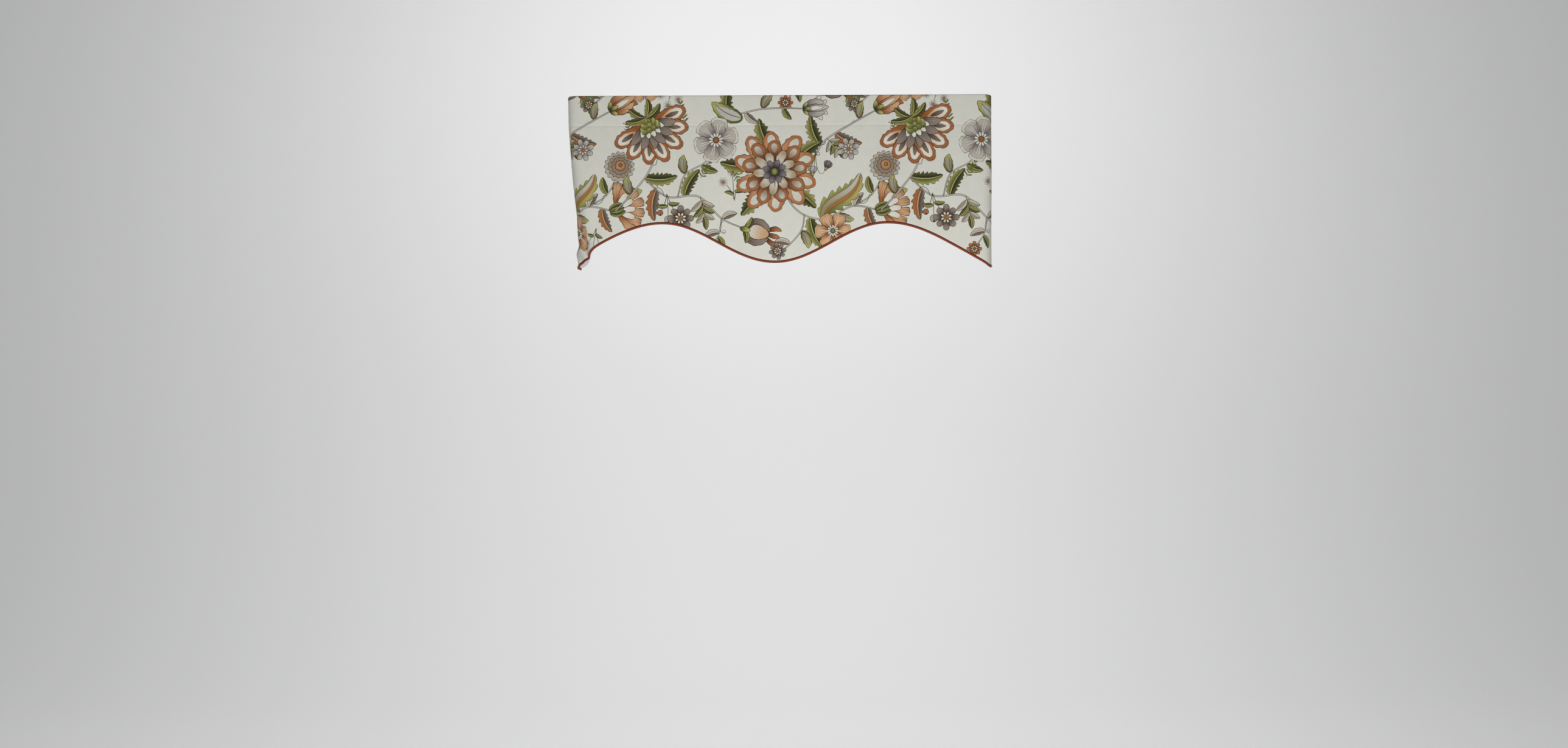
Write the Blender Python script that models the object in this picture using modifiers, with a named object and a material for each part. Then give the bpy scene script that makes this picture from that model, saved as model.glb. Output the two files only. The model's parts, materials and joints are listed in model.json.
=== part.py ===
"""Window valance: a flat, lined, shaped panel of printed cloth that hangs from a rod pocket.

The cut is 50 in wide. Its lower edge rises in two arches beside a centre drop and comes down to a
point at each front corner, and what is left at each end goes back to the wall as a return. The cloth
is bent in plan only, so each level is a curve whose direction turns along the cloth, and every layer
lies at its own depth behind the printed face.

Metres, Z up, X to the right as seen from the room, Y towards the wall. The origin is the middle of
the top edge, on the front of the cloth.
"""

from math import ceil, cos, pi, sin

import bmesh
import bpy
import numpy as np
from mathutils import Vector

INCH = 0.0254

# The cut, flat: places along the cloth are measured from the middle of its design.
HALF_WIDTH = 25 * INCH
CORNER_AT = 22 * INCH
ARCH_AT = 0.290
CENTRE_DROP = 0.428
ARCH_DROP = 0.3270
CORNER_SLOPE = 0.566
SLOPE_EASE = 0.194
RETURN_LEVEL = 0.036
RETURN_RISE = 0.034
POCKET_DROP = 0.078

# The layers, front to back.
GAP = 0.0004
FACE_THICK = 0.0012
LINING_THICK = 0.0010
POCKET_THICK = 0.0012
LINING_DEPTH = FACE_THICK + GAP
LINING_SHORT = 0.0005
POCKET_ROOM = 0.010
POCKET_CLEAR = 0.0006
WELT_RADIUS = 0.003
WELT_GAP = 0.0005
WELT_DEPTH = (LINING_DEPTH + LINING_THICK) / 2

# The hang: the design sits a little left of the rod's middle, so more cloth goes round the left corner.
DESIGN_SHIFT = -0.014
STEP = 0.002
NUDGE = 0.0005

# How far the cloth turns towards the wall at its left corner, a row for each level: the middle and the
# half length of the turn, the angles of the soft fold beside it, and the inward curl of the return.
LEFT_COLUMNS = ("drop", "at", "half", "fold_in", "fold_out", "curl")
LEFT_CORNER = (
    (0.000, 0.531, 0.024, 0, 0, 0),
    (0.080, 0.530, 0.025, 0, 0, 0),
    (0.225, 0.518, 0.037, 0, 0, 20),
    (0.305, 0.508, 0.046, 4, 4, 45),
    (0.350, 0.509, 0.044, 26, 26, 50),
    (0.385, 0.514, 0.038, 62, 62, 45),
    (0.412, 0.532, 0.023, 76, 75, 35),
    (0.450, 0.553, 0.011, 80, 78, 20),
)
RIGHT_COLUMNS = ("drop", "at", "half")
RIGHT_CORNER = (
    (0.000, 0.559, 0.024),
    (0.225, 0.559, 0.026),
    (0.350, 0.557, 0.034),
    (0.450, 0.557, 0.030),
)
# Where the fold's two slopes begin, are steepest and end, along the cloth.
FOLD_IN = (0.436, 0.507, 0.520)
FOLD_OUT = (0.510, 0.529, 0.553)
CURL = (0.560, 0.635)

# How far the flat front stands behind its top edge at each level: drawn in at the pocket's stitching,
# then forward again to the free lower edge.
STAND_COLUMNS = ("drop", "behind")
STAND = ((0.000, 0.000), (0.078, 0.003), (0.200, 0.001), (0.450, -0.003))
# Faint upright ripples below the pocket: length, place of a crest, height at the lower edge.
RIPPLES = ((0.31, -0.10, 0.0014), (0.19, 0.05, 0.0008))

# The grid: the places where its columns crowd, and the rows below the pocket as shares of the drop.
PANEL_SPANS = ((-0.635, 5), (-0.580, 32), (-0.440, 34), (0.500, 16), (0.590, 3), (0.635, 0))
POCKET_SPANS = ((-0.635, 2), (-0.562, 12), (-0.498, 5), (0.528, 12), (0.592, 2), (0.635, 0))
ROWS = (0, 0.16, 0.32, 0.46, 0.58, 0.68, 0.77, 0.85, 0.92, 0.965, 1)


def ease(share):
    """0 to 1 with level ends."""
    share = min(max(share, 0), 1)
    return share * share * (3 - 2 * share)


def rise_and_fall(s, points):
    start, top, end = points
    return ease((s - start) / (top - start)) if s < top else 1 - ease((s - top) / (end - top))


def table_row(table, columns, drop):
    """The table's columns at this drop, by name."""
    rows = np.array(table)
    return {name: float(np.interp(drop, rows[:, 0], rows[:, i])) for i, name in enumerate(columns)}


def cut_drop(u):
    """How far the cut's lower edge is below its top edge."""
    s = abs(u)
    if s < ARCH_AT:
        middle, swing = (CENTRE_DROP + ARCH_DROP) / 2, (CENTRE_DROP - ARCH_DROP) / 2
        return middle + swing * cos(pi * s / ARCH_AT)
    run = min(s, CORNER_AT) - ARCH_AT
    eased = min(run, SLOPE_EASE)
    drop = ARCH_DROP + CORNER_SLOPE * SLOPE_EASE * (1 - cos(pi / 2 * eased / SLOPE_EASE)) * 2 / pi
    drop += CORNER_SLOPE * (run - eased)
    past = s - CORNER_AT - RETURN_LEVEL
    if past > 0:
        reach = HALF_WIDTH - CORNER_AT - RETURN_LEVEL
        drop -= RETURN_RISE * (1 - (max(1 - (past / reach) ** 2, 0)) ** 0.5)
    return drop


def left_heading(s, level):
    """The cloth's direction, in degrees towards the wall, at s to the left of the middle."""
    heading = 90 * ease((s - level["at"] + level["half"]) / (2 * level["half"]))
    heading += level["fold_in"] * rise_and_fall(s, FOLD_IN)
    heading -= level["fold_out"] * rise_and_fall(s, FOLD_OUT)
    return heading + level["curl"] * ease((s - CURL[0]) / (CURL[1] - CURL[0]))


def right_heading(s, level):
    return 90 * ease((s - level["at"] + level["half"]) / (2 * level["half"]))


def ripple(u, drop):
    grown = ease((drop - POCKET_DROP) / (CENTRE_DROP - POCKET_DROP))
    fade = 1 - ease((abs(u) - 0.38) / 0.08)
    return grown * fade * sum(h * cos(2 * pi * (u - crest) / length) for length, crest, h in RIPPLES)


def front(u, drop):
    """A point of the printed face, from its place on the flat cloth."""
    side, table, columns, heading = (
        (-1, LEFT_CORNER, LEFT_COLUMNS, left_heading)
        if u < 0
        else (1, RIGHT_CORNER, RIGHT_COLUMNS, right_heading)
    )
    level = table_row(table, columns, drop)
    count = max(ceil(abs(u) / STEP), 1)
    length = abs(u) / count
    across = towards = 0.0
    for i in range(count):
        turn = np.radians(heading((i + 0.5) * length, level))
        across += cos(turn) * length
        towards += sin(turn) * length
    behind = table_row(STAND, STAND_COLUMNS, drop)["behind"] + ripple(u, drop)
    return Vector((DESIGN_SHIFT + side * across, behind + towards, -drop))


def inwards(u, drop):
    """The direction from the printed face into the cloth."""
    along = front(u + NUDGE, drop) - front(u - NUDGE, drop)
    down = front(u, drop + NUDGE) - front(u, drop - NUDGE)
    return along.cross(down).normalized()


def inside(u, drop, depth):
    """A point this deep behind the printed face."""
    return front(u, drop) + inwards(u, drop) * depth


def stations(spans):
    """Places along the cloth: each span's start and its number of columns."""
    places = [
        start + (end - start) * i / columns
        for (start, columns), (end, _) in zip(spans, spans[1:])
        for i in range(columns)
    ]
    return places + [spans[-1][0]]


def material(name, colour, roughness):
    made = bpy.data.materials.new(name)
    made.use_nodes = True
    shader = made.node_tree.nodes["Principled BSDF"]
    shader.inputs["Base Color"].default_value = (*colour, 1)
    shader.inputs["Roughness"].default_value = roughness
    shader.inputs["Metallic"].default_value = 0
    return made


def sheet(name, places, rows, point, depth, thickness, finish, collection):
    """A grid laid on point(place, row), made a layer that starts this deep behind it."""
    grid = bmesh.new()
    bmesh.ops.create_grid(grid, x_segments=len(places) - 1, y_segments=len(rows) - 1, size=0.5)
    for vertex in grid.verts:
        column = round((vertex.co.x + 0.5) * (len(places) - 1))
        row = round((0.5 - vertex.co.y) * (len(rows) - 1))
        vertex.co = point(places[column], rows[row])
    mesh = bpy.data.meshes.new(name)
    grid.to_mesh(mesh)
    grid.free()
    mesh.materials.append(finish)
    mesh.shade_smooth()
    made = bpy.data.objects.new(name, mesh)
    collection.objects.link(made)
    thick = made.modifiers.new("Thickness", "SOLIDIFY")
    thick.thickness = thickness
    thick.offset = -1 - 2 * depth / thickness
    return made


def panel_drop(u, share):
    """The drop of a panel's row: below the pocket the rows share out what is left of the cut."""
    return POCKET_DROP + (cut_drop(u) - POCKET_DROP) * share


def build_face(collection, finish):
    """The printed cloth, from the top edge to the shaped edge and round both returns."""
    rows = [None, *ROWS]  # the top edge comes first
    sheet(
        "face_panel",
        stations(PANEL_SPANS),
        rows,
        lambda u, row: front(u, 0 if row is None else panel_drop(u, row)),
        0,
        FACE_THICK,
        finish,
        collection,
    )


def build_lining(collection, finish):
    """The lining, from the pocket's stitching down."""
    sheet(
        "lining",
        stations(PANEL_SPANS),
        ROWS,
        lambda u, row: front(u, min(panel_drop(u, row), cut_drop(u) - LINING_SHORT)),
        LINING_DEPTH,
        LINING_THICK,
        finish,
        collection,
    )


def pocket_section():
    """The pocket strip's outer side as (depth, drop), from its foot up the back and over the top."""
    back = FACE_THICK + POCKET_ROOM + POCKET_THICK
    tail = LINING_DEPTH + LINING_THICK + POCKET_CLEAR + POCKET_THICK
    bend = 0.003
    return (
        (tail, POCKET_DROP + 0.009),
        (tail, POCKET_DROP - 0.001),
        (back - 0.0012, POCKET_DROP - 0.020),
        (back, POCKET_DROP - 0.026),
        (back, bend),
        (back - bend * 0.3, bend * 0.3),
        (back - bend, 0),
        (FACE_THICK + GAP, 0),
    )


def build_pocket(collection, finish):
    """The back of the rod pocket: the cloth turned over the top edge and stitched down at its foot."""
    sheet(
        "rod_pocket",
        stations(POCKET_SPANS),
        pocket_section(),
        lambda u, point: inside(u, point[1], point[0]),
        0,
        POCKET_THICK,
        finish,
        collection,
    )


def welt_path():
    """The welt's middle line: just off the shaped edge, along the cloth's own surface."""
    end = CORNER_AT + RETURN_LEVEL
    places = [u for u in stations(PANEL_SPANS) if -end < u < end]
    path = []
    for u in [-end, *places, end]:
        edge = inside(u, cut_drop(u), WELT_DEPTH)
        along = inside(u + NUDGE, cut_drop(u + NUDGE), WELT_DEPTH) - inside(
            u - NUDGE, cut_drop(u - NUDGE), WELT_DEPTH
        )
        outwards = inwards(u, cut_drop(u)).cross(along).normalized()
        path.append(edge + outwards * (WELT_RADIUS + WELT_GAP))
    return path


def build_welt(collection, finish):
    """The covered cord sewn along the shaped edge and a little way onto each return."""
    path = welt_path()
    curve = bpy.data.curves.new("welt_cord", "CURVE")
    curve.dimensions = "3D"
    curve.bevel_depth = WELT_RADIUS
    curve.bevel_resolution = 2
    curve.use_fill_caps = True
    spline = curve.splines.new("POLY")
    spline.points.add(len(path) - 1)
    for point, place in zip(spline.points, path):
        point.co = (*place, 1)
    curve.materials.append(finish)
    collection.objects.link(bpy.data.objects.new("welt_cord", curve))


def main():
    for old in list(bpy.data.objects):
        bpy.data.objects.remove(old)
    collection = bpy.data.collections.new("window_valance")
    bpy.context.scene.collection.children.link(collection)
    printed = material("printed_cloth", (0.62, 0.62, 0.55), 0.85)
    build_face(collection, printed)
    build_pocket(collection, printed)
    build_lining(collection, material("lining_cloth", (0.66, 0.66, 0.64), 0.9))
    build_welt(collection, material("welt_cloth", (0.30, 0.07, 0.025), 0.8))


main()
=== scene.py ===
"""Window valance, as it looks: printed face cloth, lining, covered welt and pocket stitching.

Each layer is drawn flat, in millimetres, with the pattern cut as areas of the cloth's own mesh, and is
then hung: the cloth bends in plan only, so a place on the flat cloth has one place in the room.
The file is laid out as an add-on and is run as a script.
"""

import json
from functools import partialmethod
from math import ceil, cos, pi, radians, sin

import bpy
import numpy as np
from bpy.props import FloatProperty, FloatVectorProperty, PointerProperty
from bpy.types import Operator, Panel, PropertyGroup
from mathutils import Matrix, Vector
from mathutils.bvhtree import BVHTree
from mathutils.geometry import delaunay_2d_cdt
from mathutils.kdtree import KDTree

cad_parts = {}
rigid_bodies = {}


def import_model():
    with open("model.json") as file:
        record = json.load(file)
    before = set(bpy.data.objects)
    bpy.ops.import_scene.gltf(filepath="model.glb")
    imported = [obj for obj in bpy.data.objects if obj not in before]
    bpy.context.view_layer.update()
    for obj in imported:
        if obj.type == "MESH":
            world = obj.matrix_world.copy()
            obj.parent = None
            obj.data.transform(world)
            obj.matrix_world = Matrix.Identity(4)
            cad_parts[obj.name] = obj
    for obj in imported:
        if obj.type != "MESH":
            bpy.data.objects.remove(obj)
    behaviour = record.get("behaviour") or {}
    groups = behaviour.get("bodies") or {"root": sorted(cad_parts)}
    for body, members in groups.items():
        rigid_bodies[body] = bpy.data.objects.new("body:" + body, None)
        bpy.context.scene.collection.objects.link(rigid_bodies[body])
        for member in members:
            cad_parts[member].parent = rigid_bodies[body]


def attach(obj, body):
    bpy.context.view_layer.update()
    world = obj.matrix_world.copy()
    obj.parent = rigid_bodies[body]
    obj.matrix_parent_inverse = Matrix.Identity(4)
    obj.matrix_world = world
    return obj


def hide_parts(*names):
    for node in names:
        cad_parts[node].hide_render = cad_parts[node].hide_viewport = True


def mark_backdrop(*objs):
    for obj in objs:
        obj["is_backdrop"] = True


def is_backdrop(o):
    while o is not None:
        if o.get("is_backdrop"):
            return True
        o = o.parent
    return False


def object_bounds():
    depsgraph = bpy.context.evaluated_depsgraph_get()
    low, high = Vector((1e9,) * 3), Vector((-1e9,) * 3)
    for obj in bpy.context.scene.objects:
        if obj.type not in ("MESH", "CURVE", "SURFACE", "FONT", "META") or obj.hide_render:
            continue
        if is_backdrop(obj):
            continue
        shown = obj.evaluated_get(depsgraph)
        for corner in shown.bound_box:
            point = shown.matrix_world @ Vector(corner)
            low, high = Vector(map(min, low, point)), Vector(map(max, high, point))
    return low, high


bl_info = {
    "name": "Window valance",
    "version": (1, 0, 0),
    "blender": (4, 5, 0),
    "location": "3D View > Sidebar > Valance",
    "description": "Builds a lined, printed valance with a rod pocket and a welted, shaped edge",
    "category": "Object",
}

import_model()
CAD_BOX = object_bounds()

MM = 0.001
INCH = 0.0254

# The cut, flat: places along the cloth are measured from the middle of its design.
HALF_WIDTH = 25 * INCH
CORNER_AT = 22 * INCH
ARCH_AT = 0.290
CENTRE_DROP = 0.428
ARCH_DROP = 0.3270
CORNER_SLOPE = 0.566
SLOPE_EASE = 0.194
RETURN_LEVEL = 0.036
RETURN_RISE = 0.034
POCKET_DROP = 0.078

# The layers, front to back.
GAP = 0.0004
FACE_THICK = 0.0012
LINING_THICK = 0.0010
POCKET_ROOM = 0.010
POCKET_CLEAR = 0.0006
LINING_DEPTH = FACE_THICK + GAP
LINING_SHORT = 0.0005
WELT_GAP = 0.0005
WELT_DEPTH = (LINING_DEPTH + LINING_THICK) / 2

# The hang: how far the design sits off the rod's middle, and how the cloth turns at each corner. A row
# for each level: drop, middle and half length of the turn, angles of the soft fold beside it, curl.
DESIGN_SHIFT = -0.014
LEFT_CORNER = (
    (0.000, 0.531, 0.024, 0, 0, 0),
    (0.080, 0.530, 0.025, 0, 0, 0),
    (0.225, 0.518, 0.037, 0, 0, 20),
    (0.305, 0.508, 0.046, 4, 4, 45),
    (0.350, 0.509, 0.044, 26, 26, 50),
    (0.385, 0.514, 0.038, 62, 62, 45),
    (0.412, 0.532, 0.023, 76, 75, 35),
    (0.450, 0.553, 0.011, 80, 78, 20),
)
RIGHT_CORNER = (
    (0.000, 0.559, 0.024, 0, 0, 0),
    (0.225, 0.559, 0.026, 0, 0, 0),
    (0.350, 0.557, 0.034, 0, 0, 0),
    (0.450, 0.557, 0.030, 0, 0, 0),
)
FOLD_IN = (0.436, 0.507, 0.520)
FOLD_OUT = (0.510, 0.529, 0.553)
CURL = (0.560, 0.635)
STAND = ((0.000, 0.000), (0.078, 0.003), (0.200, 0.001), (0.450, -0.003))
RIPPLES = ((0.31, -0.10, 0.0014), (0.19, 0.05, 0.0008))
RIPPLES_END = (0.38, 0.08)
FINE_STEP = 0.001
LEVEL_STEP = 0.002
EVEN_LEVELS = 5
REACH = 0.645
NORMAL_REACH = 0.0015

# Small shapes of the sewing: length, phase and height of each pucker and wave, all in metres.
PUCKERS = ((0.0113, 0.4, 0.00016), (0.0171, 2.1, 0.00020), (0.0291, 4.0, 0.00016))
PUCKER_REACH = 0.010
STITCH_SINK = 0.00035
SINK_WIDTH = 0.0018
SOFT_WAVES = ((0.083, 1.3, 0.00020), (0.137, 4.4, 0.00030), (0.061, 0.2, 0.00012))
SOFT_RUN = 0.12
SOFT_SLANT = 0.13
EDGE_ROLL = 0.0005
LINING_ROLL = 0.0004
ROLL_REACH = 0.0016

# The welt: turns round the cord are angles from the cloth's side, where its lip goes between the layers.
LIP_TURN = 0.05
LIP_REACH = 0.0025
CORD_SIDES = 20
ROUNDED_ENDS = (0.30, 0.62, 0.82, 0.94)
# shares of the cord's radius: the lip's swelling and how far round it goes; the groove's depth, place and
# reach round the cord; and the pulls of the stitching, with the length of each along the cord in metres
LIP_SWELL = (0.08, 0.36)
GROOVE = (0.05, 0.85, 0.3)
PULLS = ((0.022, 0.0071), (0.014, 0.0117))
# how far and how fast the pulls wander along the cord, and the turn and strength at which they show most
PULL_WANDER = (1.5, 57)
PULL_SIDE = (0.6, 0.5)

# The print, in millimetres, and its inks.
REPEAT = 686
PEN = 1.35
INKS = {
    "ivory": (0.615, 0.605, 0.537),
    "cream": (0.68, 0.66, 0.57),
    "line": (0.024, 0.016, 0.013),
    "black": (0.014, 0.012, 0.014),
    "rust": (0.265, 0.084, 0.022),
    "deep_rust": (0.092, 0.029, 0.011),
    "terracotta": (0.375, 0.148, 0.056),
    "peach": (0.585, 0.355, 0.188),
    "orange": (0.355, 0.145, 0.043),
    "brown": (0.088, 0.056, 0.035),
    "deep_brown": (0.033, 0.022, 0.015),
    "taupe": (0.25, 0.2, 0.155),
    "mauve": (0.2, 0.163, 0.158),
    "charcoal": (0.047, 0.039, 0.044),
    "plum": (0.023, 0.018, 0.023),
    "tan": (0.39, 0.305, 0.19),
    "olive": (0.122, 0.125, 0.029),
    "lime": (0.42, 0.4, 0.12),
    "leaf": (0.045, 0.051, 0.016),
    "dark_leaf": (0.015, 0.018, 0.009),
    "silver": (0.45, 0.425, 0.365),
}
FINISHES = ("ground", "solid", "engraved", "veined", "dotted", "crossed")
GREENS = "olive lime dark_leaf"
DARK_GREENS = "dark_leaf olive black"
EVEN = (0.5, 0.5, 0.5)


# ---------------------------------------------------------------- the hang


def ease(share):
    """0 to 1 with level ends."""
    share = np.clip(share, 0, 1)
    return share * share * (3 - 2 * share)


def rise_and_fall(s, points):
    """0 before the first point, 1 at the second and 0 again after the third."""
    start, top, end = points
    return np.where(s < top, ease((s - start) / (top - start)), 1 - ease((s - top) / (end - top)))


def cut_drop(u):
    """How far the cut's lower edge is below its top edge."""
    s = np.abs(u)
    middle, swing = (CENTRE_DROP + ARCH_DROP) / 2, (CENTRE_DROP - ARCH_DROP) / 2
    arch = middle + swing * np.cos(pi * s / ARCH_AT)
    run = np.clip(s, ARCH_AT, CORNER_AT) - ARCH_AT
    eased = np.minimum(run, SLOPE_EASE)
    slope = ARCH_DROP + CORNER_SLOPE * SLOPE_EASE * (1 - np.cos(pi / 2 * eased / SLOPE_EASE)) * 2 / pi
    slope = slope + CORNER_SLOPE * (run - eased)
    past = np.clip((s - CORNER_AT - RETURN_LEVEL) / (HALF_WIDTH - CORNER_AT - RETURN_LEVEL), 0, 1)
    slope = slope - RETURN_RISE * (1 - np.sqrt(1 - past**2))
    return np.where(s < ARCH_AT, arch, slope)


class Hang:
    """Where each place of the flat cloth is once it hangs."""

    def __init__(self):
        self.drops = np.arange(-LEVEL_STEP, CAD_BOX[1].z - CAD_BOX[0].z + 5 * LEVEL_STEP, LEVEL_STEP)
        self.runs = {-1: self.run(LEFT_CORNER), 1: self.run(RIGHT_CORNER)}

    def run(self, corner):
        """How far across and towards the wall the cloth has gone at each distance and level."""
        drop, *rows = np.array(corner).T
        at, half, fold_in, fold_out, curl = (self.evened(np.interp(self.drops, drop, row)) for row in rows)
        s = np.arange(FINE_STEP / 2, REACH, FINE_STEP)[:, None]
        heading = 90 * ease((s - at + half) / (2 * half))
        heading = heading + fold_in * rise_and_fall(s, FOLD_IN) - fold_out * rise_and_fall(s, FOLD_OUT)
        heading = np.radians(heading + curl * ease((s - CURL[0]) / (CURL[1] - CURL[0])))
        level = np.zeros((1, len(self.drops)))
        return [np.vstack([level, np.cumsum(way(heading) * FINE_STEP, axis=0)]) for way in (np.cos, np.sin)]

    @staticmethod
    def evened(values):
        """A value of every level without its sharp bends: each becomes the mean of the levels near it."""
        count = 2 * EVEN_LEVELS + 1
        return np.convolve(np.pad(values, EVEN_LEVELS, "edge"), np.ones(count), "valid") / count

    def front(self, u, drop):
        """Points of the printed face, from their places on the flat cloth."""
        u, drop = np.broadcast_arrays(np.asarray(u, float), np.asarray(drop, float))
        i = np.abs(u) / FINE_STEP
        j = (drop - self.drops[0]) / LEVEL_STEP
        i0 = np.clip(i.astype(int), 0, len(self.runs[1][0]) - 2)
        j0 = np.clip(j.astype(int), 0, len(self.drops) - 2)
        a, b = i - i0, np.clip(j - j0, 0, 1)
        got = []
        for k in (0, 1):
            both = []
            for side in (-1, 1):
                run = self.runs[side][k]
                low = run[i0, j0] * (1 - a) + run[i0 + 1, j0] * a
                high = run[i0, j0 + 1] * (1 - a) + run[i0 + 1, j0 + 1] * a
                both.append(low * (1 - b) + high * b)
            got.append(np.where(u < 0, *both))
        behind = np.interp(drop, *np.array(STAND).T)
        grown = ease((drop - POCKET_DROP) / (CENTRE_DROP - POCKET_DROP))
        fade = 1 - ease((np.abs(u) - RIPPLES_END[0]) / RIPPLES_END[1])
        for length, crest, height in RIPPLES:
            behind = behind + grown * fade * height * np.cos(2 * pi * (u - crest) / length)
        return np.stack([DESIGN_SHIFT + np.sign(u) * got[0], behind + got[1], -drop], -1)

    def inwards(self, u, drop):
        """The direction from the printed face into the cloth."""
        along = self.front(u + NORMAL_REACH, drop) - self.front(u - NORMAL_REACH, drop)
        down = self.front(u, drop + NORMAL_REACH) - self.front(u, drop - NORMAL_REACH)
        normal = np.cross(along, down)
        return normal / np.linalg.norm(normal, axis=-1, keepdims=True)

    def relief(self, u, drop):
        """How far the sewing and its own softness move the cloth off its plain shape, inwards."""
        below = drop - POCKET_DROP
        near = np.exp(-np.abs(below) / PUCKER_REACH)
        pucker = sum(h * np.sin(2 * pi * u / length + phase) for length, phase, h in PUCKERS)
        slant = u + SOFT_SLANT * drop
        soft = sum(h * np.sin(2 * pi * slant / length + phase) for length, phase, h in SOFT_WAVES)
        sink = STITCH_SINK * np.exp(-((below / SINK_WIDTH) ** 2))
        return pucker * near + soft * ease(below / SOFT_RUN) + sink

    def place(self, u, drop, depth):
        """Points this deep behind the printed face."""
        deep = np.asarray(depth + self.relief(u, drop))[..., None]
        return self.front(u, drop) + self.inwards(u, drop) * deep


HANG = Hang()


def rounded(points):
    """A broken line with its corners cut three times into curves; the ends stay."""
    points = np.array(points, float)
    for _ in range(3):
        a, b = points[:-1], points[1:]
        middle = np.stack([a * 0.75 + b * 0.25, a * 0.25 + b * 0.75], 1).reshape(-1, 2)
        points = np.vstack([points[:1], middle, points[-1:]])
    return points


class Pocket:
    """The way of the face cloth over the top edge and down its back, as (depth, drop)."""

    START = 0.020

    def __init__(self):
        back = FACE_THICK + POCKET_ROOM + FACE_THICK
        tail = LINING_DEPTH + LINING_THICK + POCKET_CLEAR + FACE_THICK
        down, near, low, across = 0.0042, 0.0004, 0.0010, 0.0034
        path = rounded(
            (
                (0, self.START),
                (0, down),
                (near, low),
                (across, 0),
                (back - across, 0),
                (back - near, low),
                (back, down),
                (back, POCKET_DROP - 0.028),
                (back - 0.0010, POCKET_DROP - 0.020),
                (tail, POCKET_DROP - 0.0015),
                (tail, POCKET_DROP + 0.009),
            )
        )
        step = np.hypot(*np.diff(path, axis=0).T)
        self.at = self.START - np.r_[0, np.cumsum(step)]
        way = np.gradient(path, axis=0)
        way /= np.linalg.norm(way, axis=1, keepdims=True)
        self.path, self.inner = path, np.stack([-way[:, 1], way[:, 0]], 1)
        self.foot = self.at[-1]
        self.back_stitch = float(np.interp(POCKET_DROP, path[-20:, 1], self.at[-20:]))

    def lie(self, t, offset):
        """(depth, drop) of places t down the flat cloth, offset into it from its outer side."""
        where, inner = ([np.interp(-t, -self.at, a[:, k]) for k in (0, 1)] for a in (self.path, self.inner))
        free = t > self.START
        depth = np.where(free, offset, where[0] + inner[0] * offset)
        return depth, np.where(free, t, where[1] + inner[1] * offset)


POCKET = Pocket()


# ---------------------------------------------------------------- the print's forms

FINE_PEN = 0.6
BOUGH_PLACES = 90
CROWDING = 0.75
RUFFLE_LENGTH = 17
# a spine of up to this many points is a curve, and is drawn with so many places; of more, it is a line
MOST_CONTROLS, SPINE_PLACES = 8, 120
RIM_STEP, LEAST_RADIUS = 2.2, 0.3


def curve_points(points, count):
    """Places along the Bezier curve of these points."""
    t = np.linspace(0, 1, count)[:, None]
    p = [np.array(q, float) for q in points]
    while len(p) > 1:
        p = [a * (1 - t) + b * t for a, b in zip(p, p[1:])]
    return p[0]


def through(points):
    """A smooth line through these points."""
    p = np.array(points, float)
    p = np.vstack([2 * p[0] - p[1], p, 2 * p[-1] - p[-2]])
    t = np.linspace(0, 1, max(BOUGH_PLACES // (len(p) - 3), 4), endpoint=False)[:, None]
    line = []
    for a, b, c, d in zip(p, p[1:], p[2:], p[3:]):
        bend = a - 2.5 * b + 2 * c - d / 2
        line.append(b + t * ((c - a) / 2 + t * (bend + t * (1.5 * (b - c) + (d - a) / 2))))
    return np.vstack([*line, p[-2:-1]])


def run_along(line):
    """How far each point is along a line."""
    return np.r_[0, np.cumsum(np.hypot(*np.diff(line, axis=0).T))]


def places_at(line, run, at):
    """Points of a line at these distances along it."""
    return np.stack([np.interp(at, run, line[:, k]) for k in (0, 1)], -1)


def polar(radius, angle):
    return radius * cos(radians(angle)), radius * sin(radians(angle))


def bent(base, end, bend):
    """The four points of a spine from base to end; bend moves its middle sideways."""
    b, e = np.array(base, float), np.array(end, float)
    side = np.array([b[1] - e[1], e[0] - b[0]]) * bend
    return b, b + (e - b) / 3 + side, b + (e - b) * 2 / 3 + side, e


class Spot:
    """Where a motif goes on the flat cloth: its place, turn and size."""

    def __init__(self, x=0, y=0, turn=0, size=1, mirror=False):
        a = radians(turn)
        flip = -1 if mirror else 1
        self.matrix = size * np.array([[cos(a) * flip, -sin(a)], [sin(a) * flip, cos(a)]])
        self.place = np.array([x, y], float)

    def scale(self):
        return abs(np.linalg.det(self.matrix)) ** 0.5

    def out(self, points):
        return np.asarray(points, float) @ self.matrix.T + self.place

    def back(self, points):
        return (points - self.place) @ np.linalg.inv(self.matrix).T

    def inside(self, outer):
        both = Spot()
        both.matrix, both.place = outer.matrix @ self.matrix, outer.out(self.place)
        return both


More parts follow.
